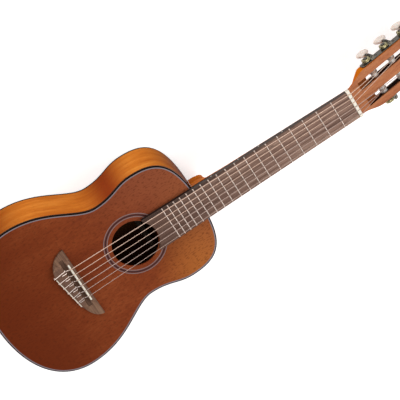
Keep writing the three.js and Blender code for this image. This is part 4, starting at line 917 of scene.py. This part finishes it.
# The bridge is sections across it: front edge, block or wing top, ridge, groove, tie block and rear edge.
def bridgeShape():
    edge = np.concatenate([wingEdge(bridge["bassTip"], bridge["trimEnd"], bridge["bassWing"]),
                           wingEdge(bridge["trebleTip"], bridge["blockHalf"], bridge["trebleWing"])[::-1]])
    half, shoulder = bridge["blockHalf"], bridge["shoulder"]
    steps = np.linspace(0, shoulder, 9)
    fixed = np.concatenate([-half - steps, half + steps, [-half - shoulder - 0.2, half + shoulder + 0.2],
                            np.linspace(-20, 30, 6)])
    x = np.unique(np.round(np.concatenate([edge[:, 0], fixed]), 3))
    rear = np.minimum(np.interp(x, edge[:, 0], edge[:, 1]), bridge["front"] - 0.4)
    out = np.clip((np.abs(x) - half) / shoulder, 0, 1)
    wing = bridge["wing"]
    top = wing + (bridge["block"] - wing) * (1 - out) ** bridge["shoulderPower"]
    ridge = np.minimum(top, bridge["ridge"])
    groove = np.where(np.abs(x) < half + shoulder + 0.1, bridge["groove"], top)
    front = bridge["front"]
    soft = np.minimum(bridge["round"], (front - rear) / 3)
    crown = np.where(out < 1, 0.0, 0.25)
    inner = [  # the tops of the edges between front and rear, kept apart where the wing is narrow
        (bridge["ridgeFront"], top), (bridge["ridgeFront"] - 0.02, ridge), (bridge["ridgeRear"], ridge),
        (bridge["ridgeRear"] - 0.02, groove), (bridge["tieFront"] + 0.02, groove),
        (bridge["tieFront"], top - 0.3), (bridge["tieFront"] - 0.3, top)]
    section = [
        (front, 0), (front, top - soft - crown), (front - 0.3 * soft, top - 0.3 * soft - crown),
        (front - soft, top - crown * 0.6),
        *((np.maximum(y, rear + soft + (8 - i) / 100), z) for i, (y, z) in enumerate(inner)),
        (rear + soft, top - crown * 0.6), (rear + 0.3 * soft, top - 0.3 * soft - crown),
        (rear, top - soft - crown), (rear, 0)]
    return loft(np.stack([grid(x, y, body["depth"] + z) for y, z in section], 1))


def stringHoleTools():
    angle, z = fullTurn(16), body["depth"] + bridge["holeHeight"]
    across, up = bridge["hole"] * np.cos(angle), z + bridge["hole"] * np.sin(angle)
    return [loft(np.stack([grid(stringX(i, strings["atSaddle"]) + across, y, up)
                           for y in bridge["holeRun"]])) for i in range(6)]


addPiece("bridge_wood", carve(meshOf(*bridgeShape()), stringHoleTools()), bridgeWood,
         replaces=["bridge"])

ends = np.array([bridge["trimEnd"], bridge["blockHalf"] - 0.4])
trimLoop = np.concatenate([grid(ends, bridgeRear(ends) - 0.06),
                           grid(ends, bridgeRear(ends) + bridge["trimWidth"])[::-1]])
trimTop = body["depth"] + bridge["block"] + 0.05
addPiece("tie_block_strip", meshOf(*slab([trimLoop], trimTop - bridge["trimHeight"], trimTop, 0.3)),
         trimPlastic, replaces=["tie_block_trim"])


def saddleShape():
    low, top = body["depth"] + bridge["saddleLow"], body["depth"] + bridge["saddleTop"]
    angle, thick, rise = np.linspace(0, math.pi, 13), bridge["saddleHalf"], bridge["saddleCrown"]
    half = bridge["saddleLength"] / 2
    ends, rings = ((half, 0.6), (half - 0.25, 0.88), (half - 0.8, 1)), []
    for x, share in [(-x, share) for x, share in ends] + list(ends[::-1]):
        arch = grid(thick * np.cos(angle), rise * np.sin(angle)) * (share, 1)
        arch += (0, top - rise - (1 - share) * 1.2)
        rings.append(grid(x, *np.concatenate([arch, [(-thick * share, low), (thick * share, low)]]).T))
    return loft(np.stack(rings))


addPiece("bone_saddle", meshOf(*saddleShape()), bonePlastic, replaces=["saddle"])
print("bridge ready")


# Strings run from the free end of the knot over the tie block, saddle and nut, and round the roller.
def aroundEdge(x, y, z, reach, start, end, steps=6):
    angle = np.radians(np.linspace(start, end, steps + 1))
    return grid(x, y + reach * np.cos(angle), z + reach * np.sin(angle))


def tiePath(x, diameter, saddleZ):
    hug, aside = diameter / 2 + strings["rest"], diameter + strings["tieSpacing"]
    top, hole = body["depth"] + bridge["block"], body["depth"] + bridge["holeHeight"]
    front, rear = bridge["tieFront"], bridgeRear(x)
    loopY = front + hug + strings["rest"]
    standing = hole + (saddleZ - hole) * (loopY - front) / (0 - front)
    angle = np.linspace(0, math.pi, 13)
    loop = grid(x + aside * np.cos(angle), loopY, standing - aside * np.sin(angle))
    return np.concatenate([
        [(x + aside, front - strings["tieTail"], top + hug)],
        aroundEdge(x + aside, front, top, hug, 90, 0), loop,
        aroundEdge(x - aside, front, top, hug, 0, 90), aroundEdge(x, rear, top, hug, 90, 180),
        [(x, rear - hug, hole + hug), (x, rear, hole), (x, front, hole)],
    ])


def coilPath(side, place, diameter):
    rise = neck["nutSlot"] + tuner["depth"] - tuner["waist"]
    entry = math.atan2(rise, place)
    radius = tuner["waist"] + strings["coilGap"] + diameter / 2
    turned = np.arange(strings["coilTurns"] * strings["coilSteps"] + 1) / strings["coilSteps"]
    angle = entry + turned * 2 * math.pi
    x = side * (head["slotFromCentre"] + turned * (diameter + strings["coilSpacing"]))
    return toWorld(grid(x, place + radius * np.sin(angle), rollerW + radius * np.cos(angle)))


def stringPath(index):
    diameter = strings["diameters"][index]
    side, place = (-1, tuner["places"][index]) if index < 3 else (1, tuner["places"][5 - index])
    atSaddle, atNut = stringX(index, strings["atSaddle"]), stringX(index, strings["atNut"])
    saddleZ = body["depth"] + bridge["saddleTop"] + diameter / 2 + strings["rest"]
    nutZ = body["depth"] + neck["nutSlot"] + diameter / 2 + strings["rest"]
    span = [(atSaddle, -0.65, saddleZ), (atSaddle, 0.65, saddleZ),
            (atNut, nutY, nutZ), (atNut, nutBackY, nutZ)]
    line = np.concatenate([tiePath(atSaddle, diameter, saddleZ), span, coilPath(side, place, diameter)])
    return roundCorners(line, strings["bend"])


woundNylon, trebleNylon = woundFinish(strings["wrapPitch"]), nylonFinish()
for index, name in enumerate(strings["names"]):
    finish, slot = (woundNylon, "wound_nylon") if index < 3 else (trebleNylon, "nylon")
    shape = tube(stringPath(index), strings["diameters"][index] / 2, strings["sides"])
    addPiece(f"{name}_string_line", meshOf(*shape), finish, replaces=[f"{name}_string"], sharp=80)
print("strings ready")


# A plate and its ears: the strip has a bore for each roller, and each ear one for the worm.
def tunerPlate(side):
    low, high = tuner["plateStart"], tuner["plateEnd"]
    bottom, top = rollerW - tuner["plateHalf"], rollerW + tuner["plateHalf"]
    r, turn = tuner["plateRound"], np.radians(np.linspace(0, 90, 9))
    arc = grid(r * np.cos(turn), r * np.sin(turn))
    corners = [((high - r, top - r), (1, 1)), ((low + r, top - r), (-1, 1)),
               ((low + r, bottom + r), (-1, -1)), ((high - r, bottom + r), (1, -1))]
    loop = np.concatenate([(arc[::-1] if sx * sy < 0 else arc) * (sx, sy) + centre
                           for centre, (sx, sy) in corners])
    loops = [loop] + [holeLoop(v, rollerW, tuner["journal"] + tuner["running"], 24)
                      for v in tuner["places"]]
    points, faces = slab(loops, tuner["plateInner"], tuner["plateOuter"], 0.25)
    shapes = [(points[:, [2, 0, 1]], faces)]
    for v in tuner["places"]:
        for end in (-1, 1):
            shapes.append(earShape(v + tuner["wormAt"], rollerW + end * tuner["earOffset"]))
    points, faces = together(shapes)
    if side < 0:
        return points * (-1, 1, 1), [group[:, ::-1] for group in faces]
    return points, faces


def earShape(v, w):
    r, turn = tuner["earRadius"], np.radians(np.linspace(-90, 90, 17))
    nose = grid(tuner["gearX"] + r * np.cos(turn), v + r * np.sin(turn))
    root = tuner["plateInner"] + 0.5
    loop = np.concatenate([nose, [(root, v + r), (root, v - r)]])
    bore = holeLoop(tuner["gearX"], v, tuner["wormJournal"] + tuner["running"], 20)
    return slab([loop, bore], w - tuner["ear"] / 2, w + tuner["ear"] / 2, 0.2)


# Screws that hold the plate: a low dome with a cross cut.
def plateScrews(side):
    r, shapes = tuner["screwRadius"], []
    profile = [(r, -0.3), (r, 0.15), (r * 0.85, 0.5), (r * 0.5, 0.75), (r * 0.12, 0.85)]
    for v in tuner["screws"]:
        points, faces = lathe(profile, 24)
        shapes.append((points * (side, 1, 1) + (side * tuner["plateOuter"], v, rollerW), faces))
    tools = []
    for v in tuner["screws"]:
        for dv, dw in ((1.1, 0.22), (0.22, 1.1)):
            x0, x1 = sorted((side * (tuner["plateOuter"] + 0.35), side * (tuner["plateOuter"] + 2)))
            tools.append(box((x0, v - dv, rollerW - dw), (x1, v + dv, rollerW + dw)))
    return carve(meshOf(*together(shapes)), tools)


def rollerShape(side):
    slotIn, slotOut = head["slotFromCentre"] - head["slotHalf"], head["slotFromCentre"] + head["slotHalf"]
    margin, r, waist, journal = tuner["waistMargin"], tuner["roller"], tuner["waist"], tuner["journal"]
    shoulder = tuner["plateInner"] - 0.3
    gearEnd = tuner["gearX"] + tuner["gearWidth"] / 2 + 0.05
    profile = [(r - 0.5, tuner["inner"]), (r - 0.15, tuner["inner"] + 0.15), (r, tuner["inner"] + 0.5),
               (r, slotIn + margin), (waist, slotIn + 2 * margin), (waist, slotOut - 2 * margin),
               (r, slotOut - margin), (r, shoulder), (journal, shoulder), (journal, gearEnd)]
    points, faces = lathe(profile, 40)
    return points * (side, 1, 1), faces


# The round head that keeps the gear on the roller's journal, with a screw slot.
def retainerMesh(side, v):
    start = tuner["gearX"] + tuner["gearWidth"] / 2 + 0.1
    r, height = tuner["retainer"], tuner["retainerHeight"]
    shares = ((1, 0), (1, 0.5), (0.88, 0.82), (0.55, 0.97), (0.1, 1))
    points, faces = lathe([(r * wide, start + height * high) for wide, high in shares], 32)
    mesh = meshOf(points * (side, 1, 1) + (0, v, rollerW), faces)
    x0, x1 = sorted((side * (start + height * 0.55), side * (start + height + 2)))
    return carve(mesh, [box((x0, v - 5, rollerW - 0.35), (x1, v + 5, rollerW + 0.35))])


# Worm wheel: each tooth slants by the worm's lead, rises from root to tip, and its ends are eased.
def gearShape(side):
    root, tip, half = tuner["gearRoot"], tuner["gearTip"], tuner["gearWidth"] / 2
    pitch, pitchRadius = tuner["pitch"], tuner["teeth"] * tuner["module"] / 2
    slant = pitch / (2 * math.pi * tuner["wormPitchRadius"]) / pitchRadius
    x = np.array([-half, -half + 0.35, 0, half - 0.35, half])
    lower = np.array([0.45, 0, 0, 0, 0.45])
    rootHalf, tipHalf = pitch * 0.56 / 2 / root, pitch * 0.22 / 2 / tip
    shoulder = mix(rootHalf, tipHalf, 0.8)
    offsets = np.array([-rootHalf, -shoulder, -tipHalf, tipHalf, shoulder, rootHalf])
    reach = np.array([0, 0.85, 1, 1, 0.85, 0])
    middle = (np.arange(tuner["teeth"]) + 0.5) / tuner["teeth"] * 2 * math.pi
    angle = (middle[:, None] + offsets).ravel() + (x * slant)[:, None]
    radius = root + (tip - root) * np.tile(reach, tuner["teeth"]) - lower[:, None]
    outer = grid(x[:, None], radius * np.cos(angle), radius * np.sin(angle))
    bore, rims = tuner["journal"] + 0.1, angle[[0, -1]]
    inner = grid(x[[0, -1]][:, None], bore * np.cos(rims), bore * np.sin(rims))
    points, faces = loft(np.concatenate([outer, inner[::-1]]), closed=True)
    return points + (side * tuner["gearX"], 0, 0), faces


# The worm: its radius is the core's plus a trapezoid thread that climbs one pitch for each turn.
def wormShape():
    half, pitch = tuner["wormHalf"], tuner["pitch"]
    z = np.linspace(-half, half, 67)[:, None]
    angle = fullTurn(32)
    phase = (z - pitch * (angle + math.pi / 2) / (2 * math.pi)) / pitch
    fromCrest = np.abs(phase - np.round(phase)) * pitch
    thread = np.clip((pitch * 0.28 - fromCrest) / (pitch * 0.16), 0, 1)
    ease = np.clip((half - np.abs(z)) / 0.5, 0, 1)
    radius = tuner["wormCore"] + (tuner["wormTip"] - tuner["wormCore"]) * thread * ease
    ear, shank, collar = tuner["wormJournal"], tuner["shank"], tuner["collar"]
    far = tuner["earOffset"] + tuner["ear"] / 2
    below, top = -far - 0.3, far + tuner["aboveEar"]
    foot = below - tuner["collarHeight"]
    lower = [(shank, -tuner["buttonStart"] - tuner["shankInButton"]), (shank, foot), (collar - 0.2, foot),
             (collar, foot + 0.2), (collar, below - 0.2), (collar - 0.2, below),
             (ear, below), (ear, -half - 0.01)]
    upper = [(ear, half + 0.01), (ear, top - 0.3), (ear - 0.3, top)]
    rings = [grid(r * np.cos(angle), r * np.sin(angle), w)[None] for r, w in lower]
    rings += [grid(radius * np.cos(angle), radius * np.sin(angle), z)]
    rings += [grid(r * np.cos(angle), r * np.sin(angle), w)[None] for r, w in upper]
    return loft(np.concatenate(rings))


# A butterfly button: soft ovals stacked down the shank, widest past the middle.
def buttonShape():
    heights = np.array([0, 0.14, 0.4, 0.66, 0.88, 1])
    widths, thick = np.array([0.36, 0.55, 0.88, 1, 0.82, 0.4]), np.array([0.66, 0.82, 0.96, 1, 0.78, 0.4])
    t = np.linspace(0, math.pi, 33)
    share = (1 - np.cos(t)) / 2
    cap = np.clip(np.minimum(share, 1 - share) / 0.03, 0, 1) ** 0.5
    width = smoothThrough(heights, widths, share) * tuner["buttonHalf"] * mix(0.55, 1, cap)
    depth = smoothThrough(heights, thick, share) * tuner["buttonThick"] * mix(0.55, 1, cap)
    across, along = (np.sign(wave) * np.abs(wave) ** 0.9
                     for wave in (np.cos(fullTurn(40)), np.sin(fullTurn(40))))
    down = -tuner["buttonStart"] - tuner["buttonLength"] * share
    return loft(grid(depth[:, None] * across, width[:, None] * along, down[:, None]))


# A smooth line through given points: cubic pieces whose slopes are those of the neighbours.
def smoothThrough(x, y, at):
    slope = np.gradient(y, x)
    i = np.clip(np.searchsorted(x, at, side="right") - 1, 0, len(x) - 2)
    run = x[i + 1] - x[i]
    t = (at - x[i]) / run
    return ((2 * t ** 3 - 3 * t ** 2 + 1) * y[i] + (t ** 3 - 2 * t ** 2 + t) * run * slope[i]
            + (-2 * t ** 3 + 3 * t ** 2) * y[i + 1] + (t ** 3 - t ** 2) * run * slope[i + 1])


for side, name in ((-1, "bass"), (1, "treble")):
    addPiece(f"machine_plate_{name}", inHead(meshOf(*tunerPlate(side))), plateMetal,
             replaces=[f"tuner_plate_{name}"])
    addPiece(f"plate_screws_{name}", inHead(plateScrews(side)), plateMetal)
    for number, v in enumerate(tuner["places"], 1):
        key, winder = f"key_{name}_{number}", f"winder_{name}_{number}"
        middle = (0, v, rollerW)
        addPiece(f"string_roller_{name}_{number}", placed(rollerShape(side), middle), rollerNylon, winder,
                 [f"roller_{name}_{number}"])
        addPiece(f"gear_screw_{name}_{number}", inHead(retainerMesh(side, v)), plateMetal, winder)
        addPiece(f"worm_wheel_{name}_{number}", placed(gearShape(side), middle), gearMetal, winder,
                 [f"gear_{name}_{number}"], sharp=30)
        place = (side * tuner["gearX"], v + tuner["wormAt"], rollerW)
        addPiece(f"worm_screw_{name}_{number}", placed(wormShape(), place), plateMetal, key,
                 [f"worm_{name}_{number}"], sharp=40)
        addPiece(f"pearl_button_{name}_{number}", placed(buttonShape(), place), pearloid, key,
                 [f"button_{name}_{number}"], sharp=60)
print("tuning machines ready")

# The wood inside the body stays as the CAD has it, and gets its finish here, darkened as painted shade.
insideWood = {"lining": spruceWood, "brace": spruceWood, "patch": spruceWood, "block": blockWood}
for name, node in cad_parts.items():
    if node.hide_render:
        continue
    node.data.materials.clear()
    node.data.materials.append(next(finish for word, finish in insideWood.items() if word in name))


# The camera's place and its axes to the right and downwards were solved from the frets in the photograph.
stage = {
    "cameraPlace": (-1.3771, 0.2078, 3.1072), "lens": 225, "sensor": 36,
    "right": (0.49592, 0.83974, 0.22112), "down": (0.7637, -0.54297, 0.34921),
    "floorColor": "#e8e8e8", "floorGlow": 0.62, "world": 0.42,
}
right, up = Vector(stage["right"]).normalized(), -Vector(stage["down"]).normalized()
back = right.cross(up)
cameraData = bpy.data.cameras.new("camera")
cameraData.lens, cameraData.sensor_width = stage["lens"], stage["sensor"]
cameraData.clip_start, cameraData.clip_end = 0.1, 50
camera = bpy.data.objects.new("camera", cameraData)
turned = Matrix((right, up, back)).transposed().to_4x4()
camera.matrix_world = Matrix.Translation(stage["cameraPlace"]) @ turned
bpy.context.scene.collection.objects.link(camera)
bpy.context.scene.camera = camera

lamps = {  # place and aim in metres, width and height of the softbox, watts
    "side softbox": ((-1.7, -0.2, 0.6), (0, 0.1, 0.04), 1.6, 0.9, 16),
    "top softbox": ((0.7, 1.2, 1.7), (0, 0.2, 0.05), 1.6, 1.2, 22),
    "tail fill": ((-0.3, -1.9, 0.9), (0, 0.1, 0.04), 1.5, 1.0, 4),
}
for name, (place, aim, width, height, power) in lamps.items():
    lampData = bpy.data.lights.new(name, "AREA")
    lampData.shape, lampData.size, lampData.size_y, lampData.energy = "RECTANGLE", width, height, power
    lamp = bpy.data.objects.new(name, lampData)
    lamp.location = place
    lamp.rotation_mode = "QUATERNION"
    lamp.rotation_quaternion = (Vector(aim) - Vector(place)).to_track_quat("-Z", "Y")
    bpy.context.scene.collection.objects.link(lamp)


# 1 for rays from the camera, off gloss or through clear parts, so that they see the background as white.
def seenDirectly(tree):
    path = addNode(tree, "ShaderNodeLightPath").outputs
    direct = addNode(tree, "ShaderNodeMath", {0: path["Is Camera Ray"], 1: path["Is Glossy Ray"]},
                     operation="ADD")
    return addNode(tree, "ShaderNodeMath", {0: direct.outputs[0], 1: path["Is Transmission Ray"]},
                   operation="ADD", use_clamp=True).outputs[0]


floorFinish, floorTree, floorShader = newFinish(
    "matt pale studio floor", Base_Color=stage["floorColor"], Roughness=0.9, Specular_IOR_Level=0.1,
    Emission_Color="#ffffff")
glow = addNode(floorTree, "ShaderNodeMath", {0: seenDirectly(floorTree), 1: stage["floorGlow"]},
               operation="MULTIPLY")
floorTree.links.new(glow.outputs[0], floorShader.inputs["Emission Strength"])
floorMesh = bpy.data.meshes.new("floor")
floorMesh.from_pydata([(-12, -12, 0), (12, -12, 0), (12, 12, 0), (-12, 12, 0)], [], [(0, 1, 2, 3)])
floorMesh.materials.append(floorFinish)
floor = bpy.data.objects.new("floor", floorMesh)
bpy.context.scene.collection.objects.link(floor)

world = bpy.data.worlds.new("pale studio")
world.use_nodes = True
bpy.context.scene.world = world
worldTree = world.node_tree
background = worldTree.nodes["Background"]
strength = addNode(worldTree, "ShaderNodeMix", {0: seenDirectly(worldTree), 2: stage["world"], 3: 1.0},
                   data_type="FLOAT")
background.inputs["Color"].default_value = (1, 1, 1, 1)
worldTree.links.new(strength.outputs[0], background.inputs["Strength"])
bpy.context.scene.view_settings.view_transform = "Standard"
print("stage ready")
